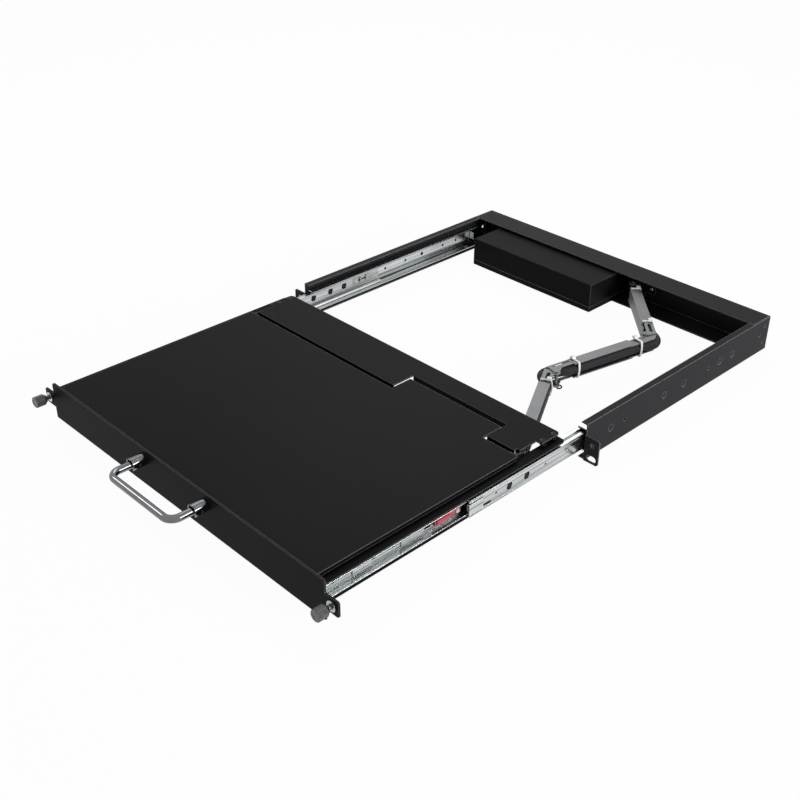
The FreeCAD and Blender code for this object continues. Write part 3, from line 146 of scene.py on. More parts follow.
@dataclass(frozen=True)
class Finish:
    """What every finish has: a name, two near tones, its gloss, and its grain and edges in mm."""

    name: str
    tone: str
    other_tone: str
    roughness: float
    grain: float
    relief: float
    metallic: float = 0.0
    shine: float = 0.5
    edge: float = 0.35
    groove_reach: float = 3.0

    def coordinates(self, tree: Tree) -> Socket:
        """Object coordinates, which are metres in the frame's axes."""
        return add(tree, "TexCoord", {}).outputs["Object"]

    def rounded(self, tree: Tree) -> Socket:
        """A normal that rounds sheared and moulded edges by a fraction of a millimetre."""
        return add(tree, "Bevel", {"Radius": self.edge * MM}, samples=4).outputs["Normal"]

    def edges(self, tree: Tree, normal: Socket) -> Socket:
        """How far a point lies on an edge, from 0 on the flat to 1 on the edge itself.

        Args:
            tree: the node tree that takes the nodes.
            normal: the rounded normal.

        Returns:
            The share of the edge tone: a painted highlight on the powder coats, a brighter edge on
                the steel.
        """
        # An edge mask; on the powder coats it carries a painted highlight.
        flat = add(tree, "NewGeometry", {}).outputs["True Normal"]
        turn = add(tree, "VectorMath", {"0": normal, "1": flat}, operation="DOT_PRODUCT")
        share = add(tree, "MapRange", {"Value": turn.outputs["Value"], "From Min": 0.995,
                                       "From Max": 0.88})
        return share.outputs["Result"]

    def noise(self, tree: Tree, vector: Socket, size: float, detail: float = 2.0) -> Socket:
        """Noise whose features are about as large as size, in millimetres."""
        return add(tree, "TexNoise", {"Vector": vector, "Scale": 1 / (size * MM),
                                      "Detail": detail}).outputs["Fac"]

    def blend(self, tree: Tree, share: Socket, first: Any, second: Any) -> Socket:
        """A colour between two others, which are hex tones or sockets."""
        ends = [linear(end) if isinstance(end, str) else end for end in (first, second)]
        mixed = add(tree, "MixRGB", {"Fac": share, "Color1": ends[0], "Color2": ends[1]})
        return mixed.outputs["Color"]

    def shaded(self, tree: Tree, colour: Socket, dark: str) -> Socket:
        """Paints shade into narrow grooves and corners, darker where ambient occlusion is low.

        Args:
            tree: the node tree that takes the nodes.
            colour: the colour before the painted shade.
            dark: the tone of the painted shade at the bottom of a groove.

        Returns:
            The colour with painted shade in its grooves.
        """
        # Painted shade: ambient occlusion darkens grooves and corners towards the dark tone.
        open_sky = add(tree, "AmbientOcclusion", {"Distance": self.groove_reach * MM},
                       samples=6)
        unshaded = add(tree, "MapRange", {"Value": open_sky.outputs["AO"], "From Min": 0.35,
                                       "From Max": 0.85})
        return self.blend(tree, unshaded.outputs["Result"], dark, colour)

    def spread(self, tree: Tree, value: Socket, low: float, high: float) -> Socket:
        """Stretches the middle of a noise over a range, such as one of roughness."""
        return add(tree, "MapRange", {"Value": value, "From Min": 0.3, "From Max": 0.7,
                                      "To Min": low, "To Max": high}).outputs["Result"]

    def wear(self, tree: Tree, shader: bpy.types.Node, colour: Socket, gloss: Socket,
             height: Socket, normal: Socket, depth: float) -> None:
        """Joins colour, gloss and relief to the shader.

        Args:
            tree: the node tree.
            shader: the surface shader.
            colour: the base colour.
            gloss: the roughness.
            height: the relief, from 0 to 1.
            normal: the normal that the relief starts from.
            depth: how deep the relief is, in millimetres.
        """
        bump = add(tree, "Bump", {"Height": height, "Strength": self.relief,
                                  "Distance": depth * MM, "Normal": normal})
        for name, socket in (("Base Color", colour), ("Roughness", gloss),
                             ("Normal", bump.outputs["Normal"])):
            tree.links.new(socket, shader.inputs[name])

    def surface(self, tree: Tree, shader: bpy.types.Node) -> None:
        """Drives the shader's colour, gloss and relief. Each finish has its own."""
        raise NotImplementedError

    def material(self) -> bpy.types.Material:
        """Builds the material, or returns it if it has been built before.

        Returns:
            The material that wears this finish.
        """
        known = bpy.data.materials.get(self.name)
        if known is not None:
            return known
        made = bpy.data.materials.new(self.name)
        made.use_nodes = True
        tree = made.node_tree
        tree.nodes.clear()
        shader = add(tree, "BsdfPrincipled", {"Metallic": self.metallic,
                                              "Roughness": self.roughness,
                                              "Specular IOR Level": self.shine})
        self.surface(tree, shader)
        add(tree, "OutputMaterial", {"Surface": shader.outputs["BSDF"]})
        return made


@dataclass(frozen=True)
class PowderCoat(Finish):
    """Polyester powder baked on steel: a matt skin with a fine pebble and faint long waves.

    The pebble scatters the light, so flat panels read as even dark tones. Edges get a thin grey
    painted highlight.
    """

    # Tone of the thin grey painted highlight along edges.
    edge_highlight: str = "#7e7e81"
    wave: float = 60.0

    def surface(self, tree: Tree, shader: bpy.types.Node) -> None:
        """Powder pebble, long waves of the bake, and a thin grey painted highlight on edges."""
        where = self.coordinates(tree)
        normal = self.rounded(tree)
        pebble = self.noise(tree, where, self.grain, 3.0)
        waves = self.noise(tree, where, self.wave)
        tones = self.blend(tree, waves, self.tone, self.other_tone)
        # Edges are mixed towards the lighter grey: a painted highlight.
        self.wear(tree, shader, self.blend(tree, self.edges(tree, normal), tones, self.edge_highlight),
                  self.spread(tree, pebble, self.roughness - 0.05, self.roughness + 0.07),
                  pebble, normal, 0.02)


@dataclass(frozen=True)
class RolledZinc(Finish):
    """Bright zinc on cold-rolled strip: long light and dark rolling lines, faintly clouded.

    Real rolling lines are finer than a tenth of a millimetre; these are drawn about a
    millimetre wide, so that they show at the size of a whole drawer.
    """

    streak: str = "#74787a"
    # Tone of the painted shade in grooves and corners.
    painted_groove_shade: str = "#1e2021"
    stretch: float = 0.004
    cloud: float = 30.0

    def surface(self, tree: Tree, shader: bpy.types.Node) -> None:
        """Rolling lines drawn along Y over soft clouds, with painted shade in grooves."""
        where = self.coordinates(tree)
        along = add(tree, "Mapping", {"Vector": where, "Scale": (1.0, self.stretch, 1.0)})
        lines = self.noise(tree, along.outputs["Vector"], self.grain, 3.0)
        clouds = self.noise(tree, where, self.cloud, 3.0)
        tones = self.blend(tree, clouds, self.tone, self.other_tone)
        streaks = add(tree, "MapRange", {"Value": lines, "From Min": 0.38, "From Max": 0.52})
        drawn = self.blend(tree, streaks.outputs["Result"], self.streak, tones)
        # Grooves and corners of the zinc get painted shade.
        self.wear(tree, shader, self.shaded(tree, drawn, self.painted_groove_shade),
                  self.spread(tree, lines, self.roughness - 0.06, self.roughness + 0.08),
                  lines, self.rounded(tree), 0.01)


@dataclass(frozen=True)
class PassivatedSteel(Finish):
    """Zinc-plated and passivated sheet, brushed dull: an even mid grey with soft stains."""

    # Tone of the painted shade in grooves and corners.
    painted_groove_shade: str = "#202122"
    bright: str = "#a4a6a7"
    stain: float = 24.0

    def surface(self, tree: Tree, shader: bpy.types.Node) -> None:
        """Brushing in no one way, soft stains, painted groove shade, and brighter sheared edges."""
        where = self.coordinates(tree)
        normal = self.rounded(tree)
        brushing = self.noise(tree, where, self.grain, 5.0)
        stains = self.noise(tree, where, self.stain, 3.0)
        tones = self.blend(tree, stains, self.tone, self.other_tone)
        # Painted shade in the grooves and corners of the steel.
        shaded_tones = self.shaded(tree, tones, self.painted_groove_shade)
        self.wear(tree, shader, self.blend(tree, self.edges(tree, normal), shaded_tones, self.bright),
                  self.spread(tree, brushing, self.roughness - 0.05, self.roughness + 0.05),
                  brushing, normal, 0.02)


@dataclass(frozen=True)
class PolishedMetal(Finish):
    """Plated or turned metal: a mirror skin with fine wipe marks and a little haze."""

    def surface(self, tree: Tree, shader: bpy.types.Node) -> None:
        """Haze in the gloss and the faintest waviness."""
        haze = self.noise(tree, self.coordinates(tree), self.grain, 6.0)
        self.wear(tree, shader, self.blend(tree, haze, self.tone, self.other_tone),
                  self.spread(tree, haze, self.roughness * 0.6, self.roughness * 1.5),
                  haze, self.rounded(tree), 0.02)


@dataclass(frozen=True)
class MouldedPlastic(Finish):
    """Injection-moulded plastic: spark-eroded grain that breaks the gloss into a soft sheen."""

    flow_size: float = 18.0

    def surface(self, tree: Tree, shader: bpy.types.Node) -> None:
        """Eroded grain and a slow change of tone from the flow in the mould."""
        where = self.coordinates(tree)
        grain = add(tree, "TexVoronoi", {"Vector": where, "Scale": 1 / (self.grain * MM)},
                    feature="SMOOTH_F1").outputs["Distance"]
        flow = self.noise(tree, where, self.flow_size)
        self.wear(tree, shader, self.blend(tree, flow, self.tone, self.other_tone),
                  self.spread(tree, flow, self.roughness - 0.04, self.roughness + 0.06),
                  grain, self.rounded(tree), 0.02)


@dataclass(frozen=True)
class Braid(Finish):
    """Polyester monofilament plaited round the cable: crossed bundles, each with its own sheen."""

    bundles: int = 10
    fray: float = 1.2
    wave_rate: int = 20

    @property
    def wave_scale(self) -> float:
        """The scale at which leaning bands give this many bundles in one turn.

        The wave texture's own rate is 20 radians to a unit.
        """
        return self.bundles * math.tau / (PLAIT_TURN * math.sqrt(0.5) * self.wave_rate)

    def surface(self, tree: Tree, shader: bpy.types.Node) -> None:
        """Two sets of bundles that wind opposite ways, read from the sleeve's own UV map."""
        unwrapped = add(tree, "UVMap", {}, uv_map="plait").outputs["UV"]
        sets = []
        for lean in (1.0, -1.0):
            turned = add(tree, "Mapping", {"Vector": unwrapped,
                                           "Rotation": (0, 0, lean * math.pi / 4)})
            wave = add(tree, "TexWave", {"Vector": turned.outputs["Vector"],
                                         "Scale": self.wave_scale, "Distortion": 0.0})
            sets.append(wave.outputs["Fac"])
        plait = add(tree, "Math", {"0": sets[0], "1": sets[1]},
                    operation="MAXIMUM").outputs["Value"]
        fray = self.noise(tree, self.coordinates(tree), self.fray, 4.0)
        self.wear(tree, shader, self.blend(tree, plait, self.tone, self.other_tone),
                  self.spread(tree, fray, self.roughness - 0.1, self.roughness + 0.1),
                  plait, add(tree, "NewGeometry", {}).outputs["Normal"], 0.4)


class Finishes(Enum):
    """Every finish of the object."""

    BLACK_COAT = PowderCoat("black_powder_coat", "#0c0c0d", "#111112", 0.46, 0.6, 0.30,
                            shine=0.04, edge=1.0)
    # A darker copy of the black coat for the tray: painted shade, for the shadow that the tray's
    # ledges lie in beside the lid.
    PAINTED_SHADE_COAT = PowderCoat("shaded_black_powder_coat", "#060607", "#09090a", 0.50, 0.6, 0.30,
                           shine=0.03, edge=0.6)
    # A lighter copy of the black coat for the rails, crossmember and arm bracket, with a brighter
    # painted edge highlight: painted light, for the light from the right on the rails' webs.
    PAINTED_LIGHT_COAT = PowderCoat("lit_black_powder_coat", "#1d1d1f", "#242426", 0.44, 0.6, 0.30,
                           shine=0.05, edge=1.0, edge_highlight="#8e8e91")
    ZINC = RolledZinc("bright_zinc_plate", "#d6d9d9", "#c2c6c7", 0.20, 1.1, 0.35, 1.0)
    CAGE = RolledZinc("pressed_steel_strip", "#b3b4ae", "#8f918c", 0.32, 0.8, 0.25, 1.0)
    ARM = PassivatedSteel("passivated_steel_sheet", "#7b7d7e", "#6d6f71", 0.52, 1.5, 0.12, 0.85)
    CHROME = PolishedMetal("chrome_plate", "#77797b", "#66686b", 0.10, 8.0, 0.03, 1.0)
    KNOB = PolishedMetal("turned_steel", "#6a6c6e", "#505254", 0.30, 2.0, 0.10, 1.0, edge=0.05)
    BLACK_ZINC = PolishedMetal("black_zinc_screw", "#2a2a2c", "#1e1e20", 0.38, 2.0, 0.10, 1.0)
    BLACK_PLASTIC = MouldedPlastic("black_moulded_plastic", "#131314", "#19191b", 0.48, 0.25, 0.25,
                                   shine=0.25)
    KEY_PLASTIC = MouldedPlastic("key_cap_plastic", "#101011", "#161617", 0.42, 0.2, 0.20,
                                 shine=0.25)
    RUBBER = MouldedPlastic("black_rubber", "#0c0c0c", "#111111", 0.70, 0.4, 0.20, shine=0.2)
    LEGEND = MouldedPlastic("printed_legend", "#c9c9c6", "#bdbdba", 0.55, 0.3, 0.05)
    RED_NYLON = MouldedPlastic("red_nylon", "#a8333f", "#982c37", 0.38, 0.3, 0.15)
    WHITE_NYLON = MouldedPlastic("white_nylon", "#dcdcd8", "#cfcfca", 0.35, 0.3, 0.10)
    BOARD = MouldedPlastic("solder_mask", "#154a28", "#0f3a1f", 0.30, 0.8, 0.10)
    GLASS = MouldedPlastic("matt_display_glass", "#07070a", "#0a0a0d", 0.22, 0.1, 0.02)
    BRAID = Braid("braided_polyester", "#050506", "#38383b", 0.58, 1.6, 0.80, shine=0.15)


def dress(finish: Finishes, *nodes: str) -> None:
    """Gives model nodes a finish.

    Args:
        finish: the finish that the nodes wear.
        nodes: the names of the nodes.
    """
    for name in nodes:
        item = bpy.data.objects[name]
        item.data.materials.clear()
        item.data.materials.append(finish.value.material())
        LOG.info("dressed %s in %s", name, finish.value.name)


def add_piece(name: str, mesh: Mesh, finish: Finishes, body: str,
              stands_for: Iterable[str] = (), smooth: float = 35.0) -> bpy.types.Object:
    """Turns a finished mesh, drawn in millimetres, into a piece of the object.

    Args:
        name: the piece's name.
        mesh: its mesh, which is freed here.
        finish: what it wears.
        body: the body that it rides on.
        stands_for: the model nodes that it replaces.
        smooth: faces that meet at less than this many degrees are shaded as one.

    Returns:
        The new piece.
    """
    bmesh.ops.remove_doubles(mesh, verts=mesh.verts, dist=WELD)
    bmesh.ops.recalc_face_normals(mesh, faces=mesh.faces)
    bmesh.ops.scale(mesh, vec=(MM, MM, MM), verts=mesh.verts)
    data = bpy.data.meshes.new(name)
    mesh.to_mesh(data)
    mesh.free()
    data.polygons.foreach_set("use_smooth", [True] * len(data.polygons))
    data.set_sharp_from_angle(angle=math.radians(smooth))
    data.materials.append(finish.value.material())
    item = bpy.data.objects.new(name, data)
    bpy.context.scene.collection.objects.link(item)
    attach(item, body)
    if stands_for:
        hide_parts(*stands_for)
    LOG.info("built %s on %s", name, body)
    return item


def turned_part(mesh: Mesh, profile: Profile, steps: int, place: Matrix) -> None:
    """Spins a profile round Z to a closed solid.

    Args:
        mesh: the mesh that takes the solid.
        profile: radius and height of each point, from one end of the axis to the other.
        steps: how many faces go round.
        place: where the solid goes.
    """
    part = bmesh.new()
    line = [part.verts.new((radius, 0, height)) for radius, height in profile]
    for near, far in zip(line, line[1:]):
        part.edges.new((near, far))
    bmesh.ops.spin(part, geom=part.verts[:] + part.edges[:], cent=(0, 0, 0), axis=(0, 0, 1),
                   angle=math.tau, steps=steps, use_merge=True)
    bmesh.ops.remove_doubles(part, verts=part.verts, dist=WELD)
    bmesh.ops.recalc_face_normals(part, faces=part.faces)
    merge_in(mesh, part, place)


def ring_profile(reach: float, thick: float, steps: int = 12) -> Profile:
    """The round section of a ring, closed on itself.

    Args:
        reach: from the ring's axis to the middle of its section.
        thick: the section's radius.
        steps: how many faces go round the section.

    Returns:
        Radius and height of each point.
    """
    turns = [math.tau * step / steps for step in range(steps + 1)]
    return [(reach + thick * math.cos(turn), thick * math.sin(turn)) for turn in turns]


def merge_in(mesh: Mesh, part: Mesh, place: Matrix) -> None:
    """Adds one mesh to another at a place, and frees it.

    Args:
        mesh: the mesh that grows.
        part: the mesh that goes in.
        place: where it goes.
    """
    bmesh.ops.transform(part, matrix=place, verts=part.verts)
    carrier = bpy.data.meshes.new("carrier")
    part.to_mesh(carrier)
    part.free()
    mesh.from_mesh(carrier)
    bpy.data.meshes.remove(carrier)


@dataclass(frozen=True)
class CrossHead:
    """A pan head with a cross recess, whose reach and depth are shares of the head's own."""

    radius: float
    height: float
    recess: float = 0.55
    depth: float = 0.55
    steps: int = 24

    def build(self, mesh: Mesh, place: Matrix) -> None:
        """Adds the head to a mesh, its flat side on the place's XY plane.

        Args:
            mesh: the mesh that takes the head.
            place: where the head goes, with its axis along Z.
        """
        rim, top = self.radius, self.height
        rings = [(0, 0), (rim, 0), (rim, top * 0.35), (rim * 0.93, top * 0.75),
                 (rim * 0.78, top * 0.95)]
        rings += [(rim * share, top) for share in (self.recess, self.recess - 0.07, 0.2, 0.13, 0)]
        head = bmesh.new()
        turned_part(head, rings, self.steps, Matrix.Identity(4))
        for vert in head.verts:
            if vert.co.z <= top * 0.97:
                continue
            reach = math.hypot(vert.co.x, vert.co.y) / rim
            step = round(math.atan2(vert.co.y, vert.co.x) / math.tau * self.steps)
            on_cross = step % (self.steps // 4) == 0 and reach < self.recess - 0.03
            if on_cross or reach < 0.15:
                vert.co.z -= top * self.depth
        merge_in(mesh, head, place)


def facing(x: float, y: float, z: float, way: str) -> Matrix:
    """A place in millimetres whose Z axis points along one of the frame's axes.

    Args:
        x: distance to the right.
        y: distance back.
        z: height.
        way: the axis, such as "X" or "-Y".

    Returns:
        The place as a matrix.
    """
    aim = {"X": (1, 0, 0), "-X": (-1, 0, 0), "-Y": (0, -1, 0), "Z": (0, 0, 1)}[way]
    turn = Vector(aim).to_track_quat("Z", "Y").to_matrix().to_4x4()
    return Matrix.Translation((x, y, z)) @ turn


@dataclass
class Chassis:
    """The fixed frame that bolts into the rack."""

    web_face: float = 222.95
    slide_screws: tuple[float, ...] = (42.5, 137, 174, 245.5, 271)
    screw_head: CrossHead = CrossHead(3.8, 0.8)
    shank: Profile = ((0, 0), (1.7, 0), (1.7, 1.3), (1.4, 1.6), (0, 1.6))
    shank_gap: float = 0.05
    bracket_face: float = 343.6
    bracket_level: float = 21.0
    bracket_head: CrossHead = CrossHead(2.9, 1.7)

    def dress(self) -> None:
        """Gives the chassis pieces their finishes."""
        # The rails, crossmember and arm bracket wear the lighter copy of the black coat: painted
        # light.
        dress(Finishes.PAINTED_LIGHT_COAT, "left_side_rail", "right_side_rail", "rear_crossmember",
              "arm_rear_bracket")
        dress(Finishes.BLACK_COAT, "power_box_pan", "power_box_cover")
        dress(Finishes.BLACK_PLASTIC, "power_inlet", "video_socket")
        dress(Finishes.BOARD, "power_board")

    def rail_screws(self) -> None:
        """Screws that hold the slides: low heads sunk in the rails' webs, with their shanks."""
        mesh = bmesh.new()
        height = SLIDE_LEVEL - SLOT_LEVEL
        for side, out, back in ((1, "X", "-X"), (-1, "-X", "X")):
            for y in self.slide_screws:
                self.screw_head.build(mesh, facing(side * self.web_face, y, height, out))
                turned_part(mesh, self.shank, 16,
                            facing(side * (self.web_face + self.shank_gap), y, height, back))
        add_piece("rail_screw_heads", mesh, Finishes.BLACK_ZINC, "chassis",
                  ("rail_screws",))

    def bracket_fixings(self) -> None:
        """The two screws of the arm's rear bracket, the outer one bright zinc."""
        for name, x, finish in (("inner", 46.7, Finishes.BLACK_ZINC),
                                ("outer", 57.8, Finishes.ZINC)):
            mesh = bmesh.new()
            spot = facing(x, self.bracket_face, self.bracket_level - SLOT_LEVEL, "-Y")
            self.bracket_head.build(mesh, spot)
            add_piece(f"bracket_screw_{name}", mesh, finish, "chassis")

    def build(self) -> None:
        """Builds and dresses the chassis."""
        self.dress()
        self.rail_screws()
        self.bracket_fixings()


@dataclass
class Slides:
    """The telescopic slides on both sides."""

    mounting_face: float = 222.3
    web_back: float = 2.4
    web_front: float = 3.4
    middle_shift: float = -168.0
    access_holes: tuple[float, ...] = (56, 81.5, 179, 207, 230)
    bumper_proud: float = 0.15
    bumper_drop: float = 0.2
    bumper: Profile = (
        (0, 0), (2.2, 0), (3.0, 0.25), (3.3, 0.6), (3.3, 1.1), (2.8, 1.5), (1.4, 1.7), (0, 1.7))
    lock_place: float = 262.0
    lock_length: float = 34.0
    lock_height: float = 11.4
    lock_thick: float = 0.7
    lock_gap: float = 0.05
    lock_cells: tuple[int, int] = (17, 6)
    lock_windows: Blocks = (
        (2, 5, 2, 3), (7, 10, 1, 4), (12, 13, 2, 3), (15, 15, 1, 1), (15, 15, 4, 4))
    lock_tabs: Blocks = ((6, 6, 1, 4), (11, 11, 1, 4))
    tab_lift: float = 0.07

    def bumpers(self, side: int, name: str) -> None:
        """Black rubber bumpers pressed into the access holes of one middle member.

        Args:
            side: 1 for the right slide, -1 for the left one.
            name: left or right.
        """
        mesh = bmesh.new()
        start = self.mounting_face - self.web_back + self.bumper_proud
        height = SLIDE_LEVEL - self.bumper_drop - SLOT_LEVEL
        for y in self.access_holes:
            spot = facing(side * start, y + self.middle_shift, height, "-X" if side > 0 else "X")
            turned_part(mesh, self.bumper, 24, spot)
        add_piece(f"{name}_slide_bumpers", mesh, Finishes.RUBBER, f"{name}_middle")

    def in_cells(self, face: bmesh.types.BMFace, blocks: Blocks) -> bool:
        """Says whether a face of the lock plate lies in one of some blocks of cells.

        Args:
            face: a face of the plate, still drawn as a unit square.
            blocks: the blocks.

        Returns:
            True if the face's middle lies in a block.
        """
        middle = face.calc_center_median()
        column = int((middle.x + 0.5) * self.lock_cells[0])
        row = int((middle.y + 0.5) * self.lock_cells[1])
        return any(left <= column <= right and low <= row <= high
                   for left, right, low, high in blocks)

    def lock_plate(self, side: int, name: str) -> None:
        """Stamped plate at the back of one middle member, with windows and bent tabs.

        The plate is drawn as a unit square of cells and scaled to its size.

        Args:
            side: 1 for the right slide, -1 for the left one.
            name: left or right.
        """
        mesh = bmesh.new()
        columns, rows = self.lock_cells
        bmesh.ops.create_grid(mesh, x_segments=columns, y_segments=rows, size=0.5)
        windows = [face for face in mesh.faces if self.in_cells(face, self.lock_windows)]
        bmesh.ops.delete(mesh, geom=windows, context="FACES")
        bmesh.ops.solidify(mesh, geom=mesh.faces[:], thickness=self.lock_thick / self.lock_height)
        bmesh.ops.recalc_face_normals(mesh, faces=mesh.faces)
        tabs = [face for face in mesh.faces
                if face.normal.z > 0.9 and self.in_cells(face, self.lock_tabs)]
        grown = bmesh.ops.extrude_face_region(mesh, geom=tabs)["geom"]
        lifted = [item for item in grown if isinstance(item, bmesh.types.BMVert)]
        bmesh.ops.translate(mesh, verts=lifted, vec=(0, 0, self.tab_lift))
        bmesh.ops.delete(mesh, geom=tabs, context="FACES_ONLY")
        bmesh.ops.scale(mesh, vec=(self.lock_length, self.lock_height, self.lock_height),
                        verts=mesh.verts)
        spot = Matrix.Translation((side * (self.mounting_face - self.web_front - self.lock_gap),
                                   self.lock_place + self.middle_shift, SLIDE_LEVEL - SLOT_LEVEL))
        turn = Matrix(((0, 0, -side), (1, 0, 0), (0, 1, 0))).to_4x4()
        bmesh.ops.transform(mesh, matrix=spot @ turn, verts=mesh.verts)
        add_piece(f"{name}_lock_plate", mesh, Finishes.CAGE, f"{name}_middle", smooth=20)

    def build(self) -> None:
        """Gives the slide members their finishes and adds the small parts of the middle ones."""
        for side, name in SIDES:
            self.bumpers(side, name)
            self.lock_plate(side, name)
            dress(Finishes.ZINC, f"{name}_slide_outer", f"{name}_slide_middle",
                  f"{name}_slide_inner", f"{name}_slide_stop")
            dress(Finishes.CAGE, f"{name}_outer_ball_cage", f"{name}_inner_ball_cage")
            dress(Finishes.RED_NYLON, f"{name}_release_lever")


@dataclass
class Drawer:
    """Everything that rolls out on the slides."""

    slot_pitch: float = 465.1
    screw_level: float = 22.225
    panel_thick: float = 2.0
    knob_radius: float = 6.3
    knurl_start: float = 18.3
    knurl_length: float = 9.8
    knurl_depth: float = 0.4
    knurl_ridges: int = 30
    knurl_rows: int = 9
    cover_top: float = 41.8
    cover_sink: float = 1.0
    cover_head: CrossHead = CrossHead(2.3, 0.85)
    cover_screws: Profile = ((-209, 297), (-209, 314), (209, 297), (209, 314))
    hem_low: Triple = (165.0, 262.9, 34.6)
    hem_high: Triple = (165.8, 292.2, 40.2)
    hem_round: float = 0.2

    def dress(self) -> None:
        """Gives the drawer's pieces their finishes."""
        dress(Finishes.BLACK_COAT, "front_panel", "rear_cover", "keyboard_deck")
        # The tray wears the darker copy of the black coat: painted shade.
        dress(Finishes.PAINTED_SHADE_COAT, "drawer_tray")
        dress(Finishes.BLACK_PLASTIC, "keyboard_base", "touch_pad", "touch_pad_button_left",
              "touch_pad_button_right")
        dress(Finishes.KEY_PLASTIC, "key_caps", "space_bar")
        dress(Finishes.CHROME, "handle_posts", "handle_bar", "handle_pins")
        dress(Finishes.ZINC, "screw_ferrules", "hinge_brackets", "arm_front_bracket")

    def thumb_screw(self, side: int, name: str) -> None:
        """One captive screw: a cross-knurled head with a dished end, a coned neck and a shank.

        Args:
            side: 1 for the right screw, -1 for the left one.
            name: left or right.
        """
        radius, start, length, rows = (self.knob_radius, self.knurl_start, self.knurl_length,
                                       self.knurl_rows)
        head = [(0, 18.5), (radius * 0.5, 18.5), (radius * 0.62, 19), (radius - 0.8, 19)]
        grip = [(radius, start - length * row / rows) for row in range(rows + 1)]
        neck = [(radius - 0.5, 8.0), (4.0, 5.5), (2.4, 5.5), (2.4, -1.3), (1.9, -1.8), (0, -1.8)]
        mesh = bmesh.new()
        spot = facing(side * self.slot_pitch / 2, -TRAVEL - self.panel_thick,
                      self.screw_level - SLOT_LEVEL, "-Y")
        turned_part(mesh, head + grip + neck, 2 * self.knurl_ridges, Matrix.Identity(4))
        for vert in mesh.verts:
            if math.hypot(vert.co.x, vert.co.y) > radius - 0.01:
                row = round((start - vert.co.z) * rows / length)
                place = round(math.atan2(vert.co.y, vert.co.x) * self.knurl_ridges / math.pi)
                shrink = 1 - self.knurl_depth / radius * ((place + row) % 2)
                vert.co.x *= shrink
                vert.co.y *= shrink
        # The knurl's four-cornered faces aren't flat, and shade as one unless they are split.
        bmesh.ops.triangulate(mesh, faces=mesh.faces[:])
        bmesh.ops.transform(mesh, matrix=spot, verts=mesh.verts)
        add_piece(f"{name}_knurled_screw", mesh, Finishes.KNOB, f"{name}_screw",
                  (f"{name}_thumb_screw",), smooth=20)

    def cover_fixings(self) -> None:
        """Small screws sunk in the rear cover."""
        mesh = bmesh.new()
        foot = self.cover_top - self.cover_sink - SLOT_LEVEL
        for x, y in self.cover_screws:
            self.cover_head.build(mesh, facing(x, y - TRAVEL, foot, "Z"))
        add_piece("cover_screws", mesh, Finishes.BLACK_ZINC, "drawer")

    def side_hem(self) -> None:
        """The rear cover's hem beside the lid's tab, bent down like the hems along its front."""
        mesh = bmesh.new()
        low, high = Vector(self.hem_low), Vector(self.hem_high)
        bmesh.ops.create_cube(mesh, size=1.0)
        bmesh.ops.scale(mesh, vec=high - low, verts=mesh.verts)
        bmesh.ops.bevel(mesh, geom=mesh.edges[:], offset=self.hem_round, offset_type="OFFSET",
                        affect="EDGES", segments=2, profile=0.5, material=-1)
        bmesh.ops.translate(mesh, vec=(low + high) / 2 - Vector((0, TRAVEL, SLOT_LEVEL)),
                            verts=mesh.verts)
        add_piece("cover_side_hem", mesh, Finishes.BLACK_COAT, "drawer")

    def build(self) -> None:
        """Builds and dresses the drawer."""
        self.dress()
        self.side_hem()
        for side, name in SIDES:
            self.thumb_screw(side, name)
        self.cover_fixings()


def keys(marks: Iterable[str], width: float = 1.0) -> Keys:
    """Keys of one width, each as its mark and its width in key pitches.

    Args:
        marks: what each key says, or an empty word for a bare key or a gap.
        width: how wide each one is.

    Returns:
        The keys in a row.
    """
    return tuple((mark, width) for mark in marks)


def function_keys(first: int) -> Keys:
    """The group of four function keys that starts with a number."""
    return keys(f"F{number}" for number in range(first, first + 4))


